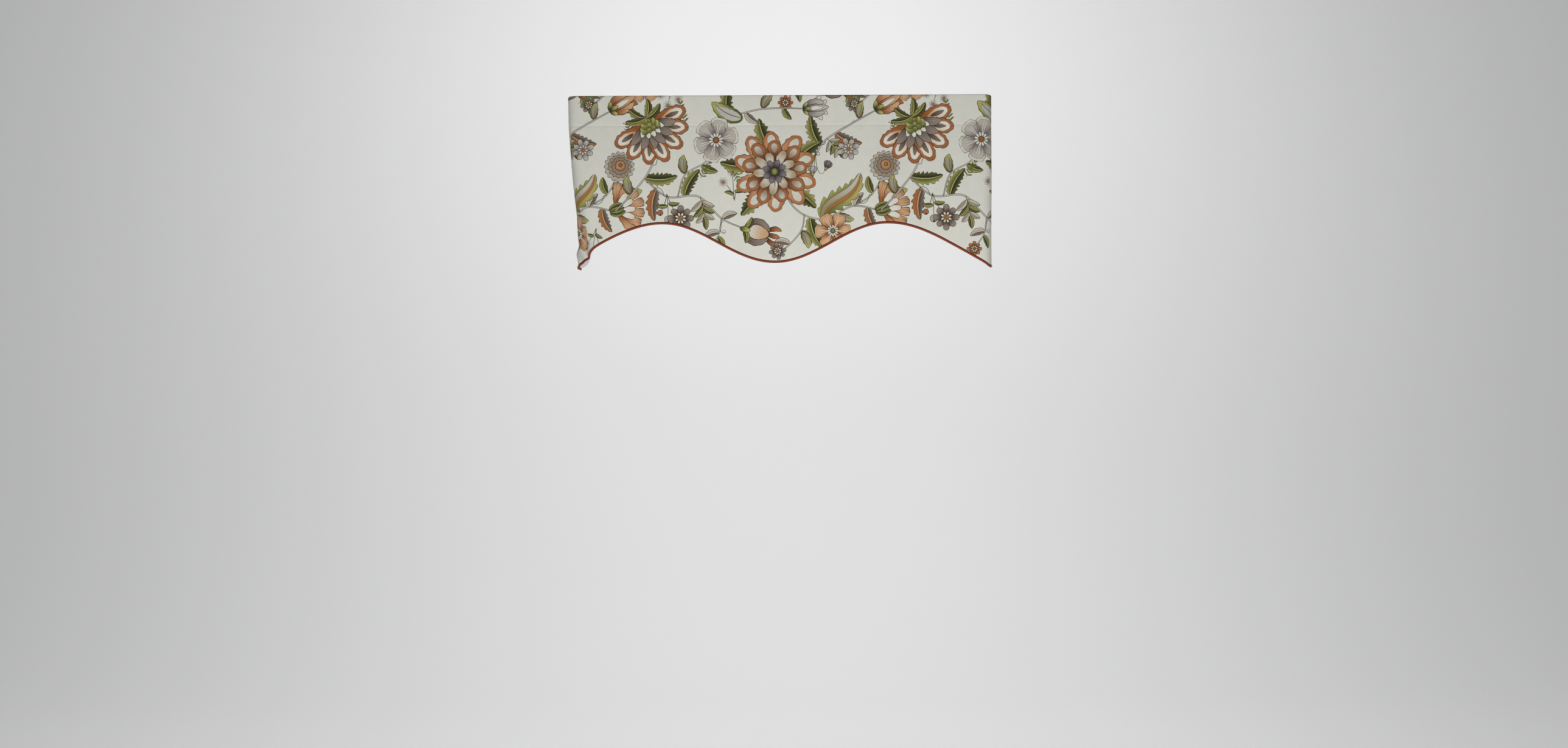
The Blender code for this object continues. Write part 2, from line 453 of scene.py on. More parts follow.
class Blade:
    """A petal, leaf or stalk: a spine, and a half width that follows a rule along it."""

    def __init__(self, spine, half, full, point, teeth=0, bite=0.3, sides=(1, 1), span=(0, 1),
                 step=3.2, ruffle=0.0):
        drawn = len(spine) > MOST_CONTROLS
        dense = spine if drawn else curve_points(spine, SPINE_PLACES)
        run = run_along(dense)
        self.length = run[-1]
        self.half, self.full, self.point = half, full, point
        self.teeth, self.bite, self.sides = teeth, bite, sides
        # places are closer together towards the two ends, where the outline turns most
        even = np.linspace(0, 1, max(ceil(self.length / step), 7, teeth * 4 + 1))
        crowded = (1 - np.cos(even * pi)) / 2
        share = even if teeth else even * (1 - CROWDING) + crowded * CROWDING
        self.share = span[0] + (span[1] - span[0]) * share
        at = self.share * self.length
        self.spine = places_at(dense, run, at)
        low, high = (places_at(dense, run, np.clip(at + nudge, 0, run[-1])) for nudge in (-0.5, 0.5))
        way = high - low
        way /= np.maximum(np.hypot(*way.T), 1e-9)[:, None]
        self.normal = np.stack([-way[:, 1], way[:, 0]], 1)
        # no two petals have the same wavy edge: its phase comes from the petal's own place
        phase = dense[0].sum() + dense[-1].sum() * 0.37
        waves = 2 * pi * max(self.length / RUFFLE_LENGTH, 1.5) * self.share + phase
        self.ruffles = [1 + ruffle * np.sin(waves + k * 2.2) * np.minimum(self.share * 2, 1) for k in (0, 1)]

    def width(self, share, toothed=True):
        """The half width at a share of the length: widest at full, its tip as sharp as point says."""
        share = np.clip(share, 0, 1)
        rise = self.point * self.full / (1 - self.full)
        top = self.full**rise * (1 - self.full) ** self.point
        wide = self.half * share**rise * (1 - share) ** self.point / top
        if self.teeth and toothed:
            phase = (self.teeth * np.clip(share, 0, 0.999)) % 1
            wide = wide * (1 - self.bite * (1 - phase) ** 1.5 * np.minimum(1, 4 * share))
        return wide

    def outline(self, inset=0.0):
        wide = self.width(self.share) - inset
        keep = np.where(wide > 0 if inset else wide > -1)[0]
        if len(keep) < 3:
            return None
        left, right = (wide * side * ruffle for side, ruffle in zip(self.sides, self.ruffles))
        left = self.spine[keep] + self.normal[keep] * left[keep, None]
        right = self.spine[keep] - self.normal[keep] * right[keep, None]
        if not inset:
            return np.vstack([left, right[::-1]])
        ends = self.end_point(keep[-1], len(wide) - 1, inset), self.end_point(keep[0], 0, inset)
        return np.vstack([part for part in (left, ends[0], right[::-1], ends[1]) if part is not None])

    def end_point(self, last, end, inset):
        """Where an inset outline meets the spine, between its last full place and the form's own end."""
        if last == end:
            return None
        way = self.spine[end] - self.spine[last]
        long, wide = np.hypot(*way), self.width(self.share[last])
        short = inset * np.hypot(long, wide) / max(wide, 1e-6)
        return None if short > long * 0.95 else self.spine[end] - way * short / long

    def local(self, points):
        """(along, across, share of the length, share of the half width) of points."""
        gap = points[:, None, :] - self.spine[None]
        i = (gap**2).sum(2).argmin(1)
        near = gap[np.arange(len(points)), i]
        normal = self.normal[i]
        across = (near * normal).sum(1)
        along = self.share[i] * self.length + near[:, 0] * normal[:, 1] - near[:, 1] * normal[:, 0]
        share = np.clip(along / self.length, 0, 1)
        side = np.clip(across / np.maximum(self.width(share, False), 0.5), -1, 1)
        return along, across, share, side


class Disc:
    """A round piece, with a scalloped rim if it has scallops."""

    def __init__(self, centre, radius, scallops=0, depth=0.0, turn=0, squash=1.0):
        self.centre, self.radius, self.half = np.array(centre, float), radius, radius * 2
        self.scallops, self.depth, self.turn, self.squash = scallops, depth, radians(turn), squash

    def rim(self, angle):
        if not self.scallops:
            return np.full(np.shape(angle), float(self.radius))
        return self.radius * (1 - self.depth * (1 - np.abs(np.sin((angle - self.turn) * self.scallops / 2))))

    def outline(self, inset=0.0):
        count = max(self.scallops * 6, ceil(self.radius * 2 * pi / RIM_STEP), 8)
        angle = np.arange(count) / count * 2 * pi + self.turn
        r = self.rim(angle) - inset
        if r.min() < LEAST_RADIUS:
            return None
        return self.centre + np.stack([np.cos(angle) * r, np.sin(angle) * r * self.squash], 1)

    def local(self, points):
        gap = (points - self.centre) / np.array([1, self.squash])
        angle = np.arctan2(gap[:, 1], gap[:, 0])
        return gap[:, 0], gap[:, 1], np.clip(np.hypot(*gap.T) / self.rim(angle), 0, 1), angle / pi


class Patch:
    """One printed area: its form, its body ink, tip ink and line ink, and how the last is laid."""

    def __init__(self, form, inset, spot, finish, inks, shade):
        self.form, self.inset, self.spot, self.finish, self.shade = form, inset, spot, finish, shade
        self.inks = inks.split() if " " in inks else [inks] * 3

    def outline(self):
        ring = self.form.outline(self.inset)
        return None if ring is None else self.spot.out(ring)


class Drawing:
    """The print as patches, the later ones over the earlier ones."""

    def __init__(self, patches, spot):
        self.patches, self.spot = patches, spot

    def at(self, *place):
        """A drawing that adds to this one, in its own place."""
        return Drawing(self.patches, Spot(*place).inside(self.spot))

    def add(self, form, finish, inks, shade=(0, 0, 0), inset=0):
        self.patches.append(Patch(form, inset, self.spot, finish, inks, shade))

    def lay(self, form, finish, inks, shade=(0, 0, 0), line="line", pen=PEN):
        """A form filled with ink, with a drawn line round it."""
        if line:
            self.add(form, "solid", line)
        self.add(form, finish, inks, shade, pen / self.spot.scale() if line else 0)


# A shade says how strongly an area's strokes run out from its base, its tip and its edge.


def petal(art, base, end, half, inks, shade=(0.8, 0.2, 0.3), full=0.6, point=0.45, bend=0.0,
          finish="engraved", **line):
    """One petal."""
    art.lay(Blade(bent(base, end, bend), half, full, point, ruffle=0.07), finish, inks, shade, **line)


def heart(art, base, end, half, inks, full, point, bend, grow, span,
          finish="dotted", shade=EVEN, line="brown"):
    """The inner panel of a petal that goes from base to end."""
    spine = curve_points(bent(base, end, bend), 60)
    low, high = (int(s * 59) for s in span)
    panel = Blade(spine[low:high], half * grow, full, point, ruffle=0.06)
    art.lay(panel, finish, inks, shade, line, FINE_PEN)


def pen_line(art, points, ink, wide):
    """A single drawn line."""
    art.add(Blade(curve_points(points, 40), wide, 0.4, 0.3, step=6), "solid", ink)


def tendril(art):
    """A curled hair of the vine."""
    angle = np.linspace(0, 3.4 * pi, 60)
    r = 11 * np.exp(-angle * 0.16)
    line = np.stack([np.sin(angle) * r, 22 + 14 * (1 - np.exp(-angle * 0.5)) - np.cos(angle) * r], 1)
    line = np.vstack([curve_points(((0, 0), (-6, 8), line[0]), 8)[:-1], line])
    art.add(Blade(line, 0.75, 0.2, 0.3, step=2.2), "solid", "leaf")


def leaf(art, base, end, half, bend, full=0.42, point=0.8, teeth=0, bite=0.3,
         light=GREENS, dark=DARK_GREENS, rib="lime"):
    """A leaf of two halves, one lighter, with side veins and a middle rib."""
    spine = bent(base, end, bend)
    kind = {"half": half, "full": full, "point": point, "teeth": teeth, "bite": bite, "ruffle": 0.05}
    art.add(Blade(spine, **kind), "solid", "line")
    for sides, inks in (((1, 0), light), ((0, 1), dark)):
        art.add(Blade(spine, sides=sides, **kind), "veined", inks, (0.5, 0.3, 0.4), PEN / art.spot.scale())
    art.add(Blade(spine, 0.5 + half * 0.03, 0.35, 0.6, span=(0, 0.94)), "solid", rib)


def disc(art, centre, radius, inks, scallops=0, depth=0.0, finish="dotted", shade=EVEN, **line):
    """A flower's eye, a fruit or a ruff."""
    art.lay(Disc(centre, radius, scallops, depth), finish, inks, shade, **line)


def fanned(angles, start, reach, droop=0.0, spread=1.0):
    """Base, end and side of petals at these angles on both sides of upright, the outer ones shorter."""
    for angle in angles:
        for a in (-angle, angle) if angle else (0,):
            side = 1 if a < 0 else -1
            yield polar(start, 90 + a), polar(reach - abs(a) * droop, 90 + a * spread), side


# ---------------------------------------------------------------- the print's motifs


def double_bloom(art):
    """A round double flower of three rows of petals with leaves behind it, 220 mm across."""
    for a in (14, 88, 152, 214, 300):
        leaf(art, polar(60, a), polar(146, a + 10), 24, 0.12, 0.42, 0.75, 7, 0.42)
    # of each row: how many, reach, start, half width, inks, bend, turn, point
    outer, second = "peach terracotta rust", "deep_rust terracotta deep_rust"
    rows = (
        (10, 112, 22, 23, outer, 0.06, 9, 0.6),
        (9, 88, 20, 20, second, -0.06, 0, 0.56),
        (9, 58, 12, 12.5, "cream tan brown", 0.08, 14, 0.5),
    )
    for count, reach, start, half, inks, bend, turn, point in rows:
        for i in range(count):
            a = 360 / count * i + turn + 3 * sin(i * 4.1)
            b, e = polar(start, a), polar(reach + 5 * sin(i * 2.4), a + 2)
            petal(art, b, e, half, inks, (1.9, 0.5, 0.5), 0.6, point, bend)
            if inks == outer:
                heart(art, b, e, half, "cream ivory olive", 0.58, 0.6, bend, 0.48, (0.5, 0.92), line="rust")
            elif inks == second:
                heart(art, b, e, half, "tan cream deep_brown", 0.58, 0.6, bend, 0.46, (0.46, 0.9), "crossed",
                      line="deep_rust")
    for i in range(8):
        b, e = polar(3, 45 * i + 10), polar(33, 45 * i + 16)
        petal(art, b, e, 8.8, "plum mauve black", (0.9, 0.2, 0.3), 0.55, 0.7, 0.1, line="black")
    disc(art, (0, 0), 11, "lime olive dark_leaf", 9, 0.1, line="dark_leaf")


def fan_bloom(art):
    """A fan-shaped flower seen from the side, 220 mm across, its stalk end at the origin."""
    for b, e, side in fanned((78, 52, 26, 0), 10, 112, 0.16, 1.04):
        bend = 0.07 * side
        petal(art, b, e, 20, "rust terracotta deep_rust", (0.5, 0.6, 0.35), 0.62, 0.5, bend)
        heart(art, b, e, 20, "peach cream rust", 0.6, 0.55, bend, 0.66, (0.3, 0.93), "engraved",
              (0.6, 0.1, 0.3), "deep_rust")
        heart(art, b, e, 20, "brown taupe deep_brown", 0.5, 0.7, bend, 0.28, (0.4, 0.82), "crossed")
    for b, e, side in fanned((64, 38, 13), 6, 72, spread=0.98):
        petal(art, b, e, 11.5, "charcoal taupe plum", (0.9, 0.15, 0.35), 0.56, 0.7, 0.1 * side, line="black")
    for b, e, _ in fanned((46, 22, 0), 3, 44):
        petal(art, b, e, 8.5, "olive cream leaf", (0.9, 0.1, 0.2), 0.55, 0.65, line="dark_leaf")
    for count, y in ((4, 22), (3, 11), (2, 0)):
        for i in range(count):
            x = (i - (count - 1) / 2) * 12.5
            petal(art, (x, y - 16), (x * 0.9, y + 8), 8.2, "lime olive leaf", (0.2, 0.7, 0.5), 0.5, 0.35,
                  line="dark_leaf", pen=0.7)
    for _, e, side in fanned((152, 116), 0, 54):
        leaf(art, (0, -8), e, 11, 0.16 * side, 0.5, 0.8, 4, 0.25)


def six_petals(art, outer="mauve silver charcoal", rim="tan cream brown", eye="orange rust deep_brown"):
    """A flat flower of six heart-shaped petals, 118 mm across."""
    for i in range(6):
        a = 60 * i + (i % 2) * 3
        b, e = polar(5, a), polar(59, a)
        petal(art, b, e, 22, rim, full=0.7, point=0.3, finish="dotted")
        heart(art, b, e, 22, outer, 0.68, 0.36, 0, 0.82, (0.03, 0.9), "engraved", (0.95, 0.2, 0.35))
        for side in (-1, 1):
            stroke = polar(16, a + side * 6), polar(30, a + side * 4), polar(42, a + side * 5)
            pen_line(art, stroke, "cream", 0.7)
    for i in range(12):
        b, e = polar(4, 30 * i), polar(19, 30 * i)
        petal(art, b, e, 3.2, "cream ivory taupe", full=0.7, point=0.5, pen=0.5)
    disc(art, (0, 0), 8.5, eye, 8, 0.1, line="deep_brown")


def brown_daisy(art, inks="deep_brown taupe black", eye="orange"):
    """A small flower of eight petals, 66 mm across."""
    for i in range(8):
        a = 45 * i
        petal(art, polar(4, a), polar(33 - (i % 2) * 2, a), 8.2, inks, (0.9, 0.1, 0.3), 0.62)
    for i in range(8):
        a = 45 * i + 22
        petal(art, polar(3, a), polar(14, a), 2.8, "tan cream brown", full=0.6, point=0.6, pen=0.4)
    disc(art, (0, 0), 5.5, f"{eye} {eye} deep_brown", line="deep_brown", pen=0.6)


def pomegranate(art):
    """A ripe fruit with a window of seeds and a crown, 105 mm tall, its stalk end at the origin."""
    for x, bend in ((-11, 0.25), (0, 0), (11, -0.25)):
        inks = "deep_rust terracotta deep_brown"
        petal(art, (x * 0.5, 66), (x * 1.6, 104), 7, inks, full=0.5, point=0.7, bend=bend)
    art.lay(Disc((0, 40), 34, squash=1.02), "engraved", "terracotta rust deep_brown", (0.1, 0.75, 0.2))
    seeds = Blade(bent((0, 8), (0, 73), 0), 20, 0.5, 0.6)
    art.lay(seeds, "dotted", "cream peach deep_rust", EVEN, "deep_rust")
    for side in (1, -1):
        rind = "brown taupe deep_brown"
        petal(art, (side * 3, 5), (side * 9, 74), 9, rind, (0.3, 0.4, 0.6), 0.5, 0.6, -0.42 * side)
        leaf(art, (0, 6), (side * 36, 18), 8.5, 0.2 * side, 0.5)
    petal(art, (0, -6), (0, 24), 8, GREENS, full=0.45, point=0.7, line="dark_leaf")


def fringed_bloom(art):
    """A fringed flower seen from the side, 100 mm across, its stalk end at the origin."""
    for b, e, _ in fanned((64, 44, 22, 0), 12, 82, 0.1):
        fringed = Blade(bent(b, e, 0), 13, 0.8, 0.2, teeth=3, bite=0.22)
        art.lay(fringed, "engraved", "rust peach deep_rust", (0.15, 0.9, 0.15))
    for b, e, _ in fanned((36, 12), 8, 56):
        petal(art, b, e, 8.5, "cream ivory terracotta", (0.6, 0.3, 0.2), 0.7, 0.35, line="deep_rust")
    for x, bend in ((-8, 0.16), (8, -0.16), (0, 0)):
        petal(art, (x * 0.4, -12), (x, 28), 8.5, "leaf lime dark_leaf", full=0.5, point=0.6, bend=bend,
              finish="veined", line="dark_leaf")


def goblet(art, inks="rust peach deep_rust", back="tan orange deep_brown"):
    """A cup of pointed petals seen from the side, 76 mm tall."""
    for angle, reach in ((36, 62), (18, 70)):
        for _, e, side in fanned((angle,), 0, reach):
            petal(art, (0, 2), e, 12, back, full=0.45, point=0.7, bend=0.18 * side, finish="dotted")
    for x, bend in ((-12, 0.2), (12, -0.2), (0, 0)):
        petal(art, (0, 0), (x, 72 - abs(x)), 11.5, inks, (0.9, 0.2, 0.4), 0.42, 0.65, bend)
    heart(art, (0, 0), (0, 70), 12, "cream ivory taupe", 0.45, 0.7, 0, 0.5, (0.15, 0.8), "engraved",
          (0.6, 0.1, 0.2), "deep_rust")
    for _, e, _ in fanned((58, 0), 0, 22):
        petal(art, (0, -4), e, 6, "leaf lime dark_leaf", full=0.5, point=0.7, line="dark_leaf")


def pompon(art):
    """A round ruffled flower, 80 mm across."""
    rings = (
        (40, 17, "engraved", "taupe silver brown"),
        (32, 15, "crossed", "cream tan brown"),
        (24, 12, "engraved", "mauve taupe charcoal"),
        (15, 9, "engraved", "peach terracotta deep_rust"),
    )
    for k, (radius, frills, finish, inks) in enumerate(rings):
        art.lay(Disc((k * 0.8, k), radius, frills, 0.14, 11 * k), finish, inks, (0.7, 0.35, 0.0))
    disc(art, (3, 4), 6, "lime olive dark_leaf", 6, 0.15, line="dark_leaf")


def bells(art):
    """Three hanging bells on arched stalks, 80 mm tall."""
    hung = (
        (-30, 34, 158, "charcoal mauve plum"),
        (4, 52, 182, "mauve silver charcoal"),
        (34, 30, 208, "charcoal taupe plum"),
    )
    for x, y, turn, inks in hung:
        pen_line(art, ((0, -20), (x * 0.1, y + 10), (x * 0.7, y + 26), (x, y)), "leaf", 0.8)
        bell = art.at(x, y, turn)
        for side in (-7, 7, 0):
            petal(bell, (0, 0), (side, 28 - abs(side) * 0.3), 7, inks, (0.9, 0.3, 0.3), 0.7, 0.4)
        petal(bell, (0, -3), (0, 8), 4, GREENS, full=0.5, point=0.6, line="dark_leaf", pen=0.5)


def star_spray(art):
    """Pale starry flowers on thin stalks, 76 mm tall."""
    for x, y, turn in ((-24, 40, 10), (3, 62, 40), (28, 36, 25)):
        pen_line(art, ((0, -12), (x * 0.2, y * 0.6), (x, y)), "leaf", 0.8)
        for i in range(7):
            tip = np.add((x, y), polar(13.5, 360 / 7 * i + turn))
            petal(art, (x, y), tip, 3.6, "taupe ivory mauve", full=0.65, point=0.55, line="charcoal",
                  pen=0.5)
        disc(art, (x, y), 3, "terracotta", finish="solid", shade=(0, 0, 0), line="deep_brown", pen=0.5)
    leaf(art, (0, 4), (-24, 14), 5.5, -0.15)
    leaf(art, (2, 12), (25, 8), 5.5, 0.15)


def berries(art):
    """Three hatched berries on a forked stalk, 60 mm tall."""
    fruit = (
        (-15, 40, 8.5, "terracotta orange deep_rust"),
        (6, 54, 9.5, "taupe silver brown"),
        (23, 35, 7.5, "rust terracotta deep_brown"),
    )
    for x, y, r, inks in fruit:
        pen_line(art, ((0, -10), (x * 0.3, y * 0.5), (x, y)), "leaf", 0.8)
        disc(art, (x, y), r, inks, finish="engraved", shade=(0.1, 0.7, 0.0))
        art.add(Disc((x, y + r * 0.7), r * 0.3), "solid", "deep_brown")
    leaf(art, (0, 14), (-28, 18), 6, -0.15)
    leaf(art, (2, 20), (30, 14), 6, 0.15)


def sprig(art, fruit=False):
    """A fine sprig, 54 mm tall."""
    pen_line(art, ((0, 0), (3, 26), (0, 54)), "leaf", 0.55)
    for i in range(6):
        y = 8 + 8.5 * i
        for side in (1, -1):
            e = (1 + side * (13 - i * 1.2), y + 8)
            petal(art, (1, y), e, 2.2, "olive", full=0.5, point=0.8, bend=0.1 * side, finish="solid",
                  line=None)
            if fruit and i % 2:
                berry = Disc((e[0] + side * 1.4, e[1] + 1.4), 1.8)
                art.lay(berry, "solid", "rust", line="deep_rust", pen=0.4)


def acanthus(art):
    """A long lobed leaf that turns over on itself, 170 mm tall."""
    spine = ((0, 0), (-40, 52), (40, 96), (-8, 168))
    left, right = (1, 0), (0, 1)
    kind = {"half": 33, "full": 0.45, "point": 0.75, "teeth": 7, "bite": 0.4}
    art.add(Blade(spine, **kind), "solid", "line")
    art.add(Blade(spine, sides=left, **kind), "veined", "leaf lime dark_leaf", EVEN, PEN)
    art.add(Blade(spine, sides=right, **kind), "engraved", "olive lime leaf", EVEN, PEN)
    art.add(Blade(spine, 15, 0.5, 0.7, sides=left), "crossed", "tan cream brown", EVEN)
    turned = Blade(spine, 11, 0.5, 0.7, sides=right)
    art.add(turned, "engraved", "orange terracotta deep_rust", (0.5, 0.3, 0.5))
    art.add(Blade(spine, 2.0, 0.3, 0.5, span=(0, 0.95)), "solid", "dark_leaf")
    art.add(Blade(spine, 0.9, 0.3, 0.5, span=(0, 0.93)), "solid", "lime")


def feather_leaf(art):
    """Leaflets in pairs along a stalk, 90 mm tall."""
    pen_line(art, ((0, 0), (-5, 40), (2, 80)), "dark_leaf", 0.9)
    pale, green = ("silver cream brown", "taupe silver deep_brown"), (GREENS, "leaf olive black")
    for i, (y, (light, dark)) in enumerate(((12, pale), (30, green), (48, pale))):
        for side in (1, -1):
            tip = (side * (36 - i * 4), y + 24)
            leaf(art, (-2.5, y), tip, 8.5, 0.12 * side, 0.48, light=light, dark=dark)
    leaf(art, (0, 58), (3, 98), 9, 0.05, 0.48)


def striped_leaf(art):
    """A broad leaf with a black and cream chevron, 95 mm tall."""
    petal(art, (0, 0), (0, 96), 22, "olive lime leaf", (0.5, 0.4, 0.8), 0.42, 0.75, 0.12, line="dark_leaf")
    heart(art, (0, 0), (0, 96), 22, "cream ivory black", 0.42, 0.75, 0.12, 0.68, (0.06, 0.88), "crossed",
          line="dark_leaf")
    pen_line(art, ((0, 4), (-11, 34), (-11, 62), (0, 86)), "dark_leaf", 0.9)


def paned_leaf(art):
    """A green leaf with a patterned pane."""
    petal(art, (0, 0), (0, 50), 12.5, GREENS, (0.5, 0.4, 0.9), 0.45, 0.8, 0.14)
    heart(art, (0, 0), (0, 50), 12.5, "tan silver deep_brown", 0.45, 0.8, 0.14, 0.6, (0.1, 0.86), "crossed",
          line="dark_leaf")
    pen_line(art, ((0, 5), (-5, 22.5), (0, 43)), "dark_leaf", 0.5)


def serrated_leaf(art):
    leaf(art, (0, 0), (0, 84), 20, 0.12, 0.42, 0.75, 7, 0.4)


def autumn_leaf(art):
    inks = "terracotta orange deep_rust", "brown taupe black", "peach"
    leaf(art, (0, 0), (0, 74), 17, 0.14, 0.42, 0.75, 6, 0.34, *inks)


def plain_leaf(art):
    leaf(art, (0, 0), (0, 46), 10.5, 0.14, 0.45)


def brown_leaf(art):
    inks = {"light": "tan cream brown", "dark": "brown taupe deep_brown", "rib": "cream"}
    leaf(art, (0, 0), (0, 46), 10.5, 0.14, 0.45, **inks)


def bough(art, wide, points, leaves):
    """A woody stem through these points, with a leaf where each (share, side, size, kind) says."""
    line = through(points)
    run = run_along(line)
    for share, side, size, kind in leaves:
        at = share * run[-1]
        x, y = places_at(line, run, at)
        dx, dy = places_at(line, run, at + 4) - (x, y)
        kind(art.at(x, y, np.degrees(np.arctan2(dy, dx)) - 90 + side * 52, size, side < 0))
    stalk = Blade(line, wide, 0.4, 0.10, step=5)
    art.lay(stalk, "engraved", "silver silver charcoal", (0.4, 0.4, 1.0), "black", 0.85)


def repeat_unit(art):
    """One repeat of the print, from the back to the front."""
    p, s, a, w, b = plain_leaf, serrated_leaf, autumn_leaf, paned_leaf, brown_leaf
    boughs = (
        (2.5, ((-70, -300), (-22, -250), (26, -180), (34, -90)),
         ((0.25, 1, 1.0, w), (0.48, -1, 1.0, s), (0.7, 1, 0.9, p))),
        (2.4, ((6, -215), (66, -262), (146, -262), (205, -318), (262, -345)),
         ((0.14, -1, 1.1, a), (0.4, 1, 0.95, s), (0.6, -1, 1.0, w), (0.8, 1, 0.9, b))),
        (2.0, ((92, -264), (112, -205), (165, -172), (196, -120)), ((0.35, 1, 1.0, w), (0.6, -1, 1.0, p))),
        (2.2, ((186, -140), (222, -66), (290, -40), (356, -34), (424, -36)),
         ((0.3, 1, 1.0, s), (0.46, -1, 0.9, b), (0.62, 1, 1.0, w), (0.8, -1, 0.8, p))),
        (2.5, ((343, -205), (432, -172), (474, -118), (540, -76), (606, -40)),
         ((0.46, 1, 1.0, s), (0.62, -1, 1.0, a), (0.85, 1, 0.9, w))),
        (2.4, ((343, -205), (398, -296), (470, -322), (545, -288), (616, -300)),
         ((0.44, -1, 1.0, s), (0.66, -1, 0.9, w), (0.8, 1, 0.9, b), (0.9, -1, 0.9, a))),
        (2.0, ((548, -288), (590, -262), (612, -230), (628, -190)), ((0.45, 1, 1.0, p), (0.6, -1, 0.9, w))),
        (2.0, ((420, -308), (412, -350), (380, -388), (352, -408)), ((0.35, 1, 1.0, w), (0.7, -1, 0.9, b))),
        (1.8, ((205, -318), (200, -356), (178, -392)), ((0.45, -1, 0.9, b), (0.6, 1, 0.8, p))),
    )
    # each motif with its place, turn and size, whether it is mirrored, and its inks where they differ
    motifs = (
        (tendril, (66, -262, 60)),
        (tendril, (220, -66, -10, 1, True)),
        (tendril, (474, -118, 150, 1.1)),
        (tendril, (596, -258, 120, 1, True)),
        (tendril, (205, -318, -170)),
        (tendril, (28, -180, -60, 1, True)),
        (acanthus, (466, -322, -42, 0.92)),
        (striped_leaf, (262, -60, 62, 0.95)),
        (feather_leaf, (150, -262, -168, 0.9)),
        (striped_leaf, (610, -250, -86, 0.8, True)),
        (feather_leaf, (478, -112, -138, 0.72)),
        (star_spray, (238, -262, 6)),
        (berries, (66, -264, -172, 1.05)),
        (bells, (448, -160, 176, 0.95)),
        (sprig, (110, -78, 10, 1.1)),
        (sprig, (236, -180, -160, 0.9), True),
        (sprig, (520, -20, -70, 0.9)),
        (sprig, (150, -216, -30, 0.9)),
        (sprig, (280, -300, -20, 0.8), True),
        (sprig, (664, -120, 20, 0.9), True),
        (star_spray, (566, -352, 170, 0.9)),
        (double_bloom, (343, -198, 8, 0.98)),
        (fan_bloom, (14, -66, -152, 1.05)),
        (six_petals, (192, -116, 15)),
        (goblet, (606, -38, -60, 1.05)),
        (brown_daisy, (100, -318, 0, 1.05)),
        (pompon, (628, -184)),
        (pomegranate, (258, -345, -104, 0.98)),
        (fringed_bloom, (614, -298, -72)),
        (six_petals, (493, -352, 0, 0.8),
         "rust peach deep_rust", "orange peach brown", "lime olive dark_leaf"),
        (brown_daisy, (534, -140, 20, 0.9), "mauve silver plum"),
        (goblet, (420, -36, -86, 0.9), "mauve silver charcoal", "tan cream brown"),
        (brown_daisy, (350, -404, 10, 0.7)),
        (brown_daisy, (172, -400, 0, 0.62), "deep_rust terracotta deep_brown", "olive"),
    )
    for stem in boughs:
        bough(art, *stem)
    for motif, place, *others in motifs:
        motif(art.at(*place), *others)


def whole_print():
    """The print over the whole cut: the repeats side by side, and the feet of those above them."""
    art = Drawing([], Spot())
    for across, up in ((200, 380), (0, 0)):
        for column in (-2, -1, 0, 1):
            repeat_unit(art.at((column - 0.5) * REPEAT + across, up))
    return art.patches


# ---------------------------------------------------------------- the cloth's meshes

CUT_HALF = HALF_WIDTH / MM
FOOT = -POCKET.foot / MM
LOWEST = -450
STITCH_ROWS = (-POCKET_DROP / MM, -POCKET.back_stitch / MM)
STRIPS = 12
MIDDLE_HEIGHT = -170.0
# how near is the same place, in millimetres: for a cut, the reverse's cut, the grid, a border, and two
# strips on a border
CUT_NEAR = 1e-4
REVERSE_NEAR = 1e-5
GRID_NEAR = 1e-2
TOUCHING = 1e-3
SEAM_NEAR = 0.02
# how far from a border counts as within it
WITHIN = 0.1
# places beside the edge, which its roll bends, as far as this along it; the grid keeps clear of them
ROLLS = (0.6, 1.4, 3.0)
ROLLS_END = 600
EDGE_CLEAR = 5
# rows are closer beside the stitches, at them, over the top's two folds, and between those
BESIDE, SEWN, FOLDED, BETWEEN = 2.4, 0.8, 0.75, 2.6
SEWN_NEAR, SEWN_REACH = 2, 9
REVERSE_STEP = 11
REVERSE_COLUMNS = 130
REVERSE_CLEAR = (6, 1)
# the bake layout: the part of its square that is used, its margins across and up, the gap before the
# reverse, and how small that is laid across and along; then the room round the cloth, in millimetres
BAKE_SIDE, BAKE_MARGIN, BAKE_GAP = 0.98, (0.01, 0.005), 0.03
BAKED_REVERSE = (0.5, 0.7)
BAKE_ROOM, BAKE_LOW = 20, 5
LINING_STEP = 5.2
LINING_ROWS = (0, 0.006, 0.02, *np.linspace(0.05, 0.97, 54), 0.985, 0.994, 0.998, 1)
# the lining's soft fall: the height of each form, how tight it is across and down, and its sway or phase
HOLLOW = (0.0009, 41, 23, 3)
RIPPLE = (0.0004, 97, 61, 2)
LINING_HELD, LINING_FREE = 6, 0.05
WELT_STEP = 0.0016


def spread(spans):
    """Places along a line: each span's start, end and spacing."""
    places = [np.linspace(a, b, ceil(abs(b - a) / step) + 1)[:-1] for a, b, step in spans]
    return np.r_[(*places, [spans[-1][1]])]


def cut_y(x):
    return -cut_drop(x * MM) / MM


def row_spans(step):
    """The rows of the face cloth, from below its lower edge up and over to the pocket's foot."""
    s, b = STITCH_ROWS
    first, low, high, last = s - SEWN_REACH, s - SEWN_NEAR, s + SEWN_NEAR, s + SEWN_REACH
    sewn = (first, low, BESIDE), (low, high, SEWN), (high, last, BESIDE)
    folded = (-5, 1, FOLDED), (1, 9, BETWEEN), (9, 15, FOLDED)
    low, high = b - SEWN_NEAR, b + SEWN_NEAR
    back = (60, low, BETWEEN), (low, high, SEWN), (high, FOOT, BESIDE)
    return (LOWEST, first, step), *sewn, (last, -5, step), *folded, (15, 60, step), *back


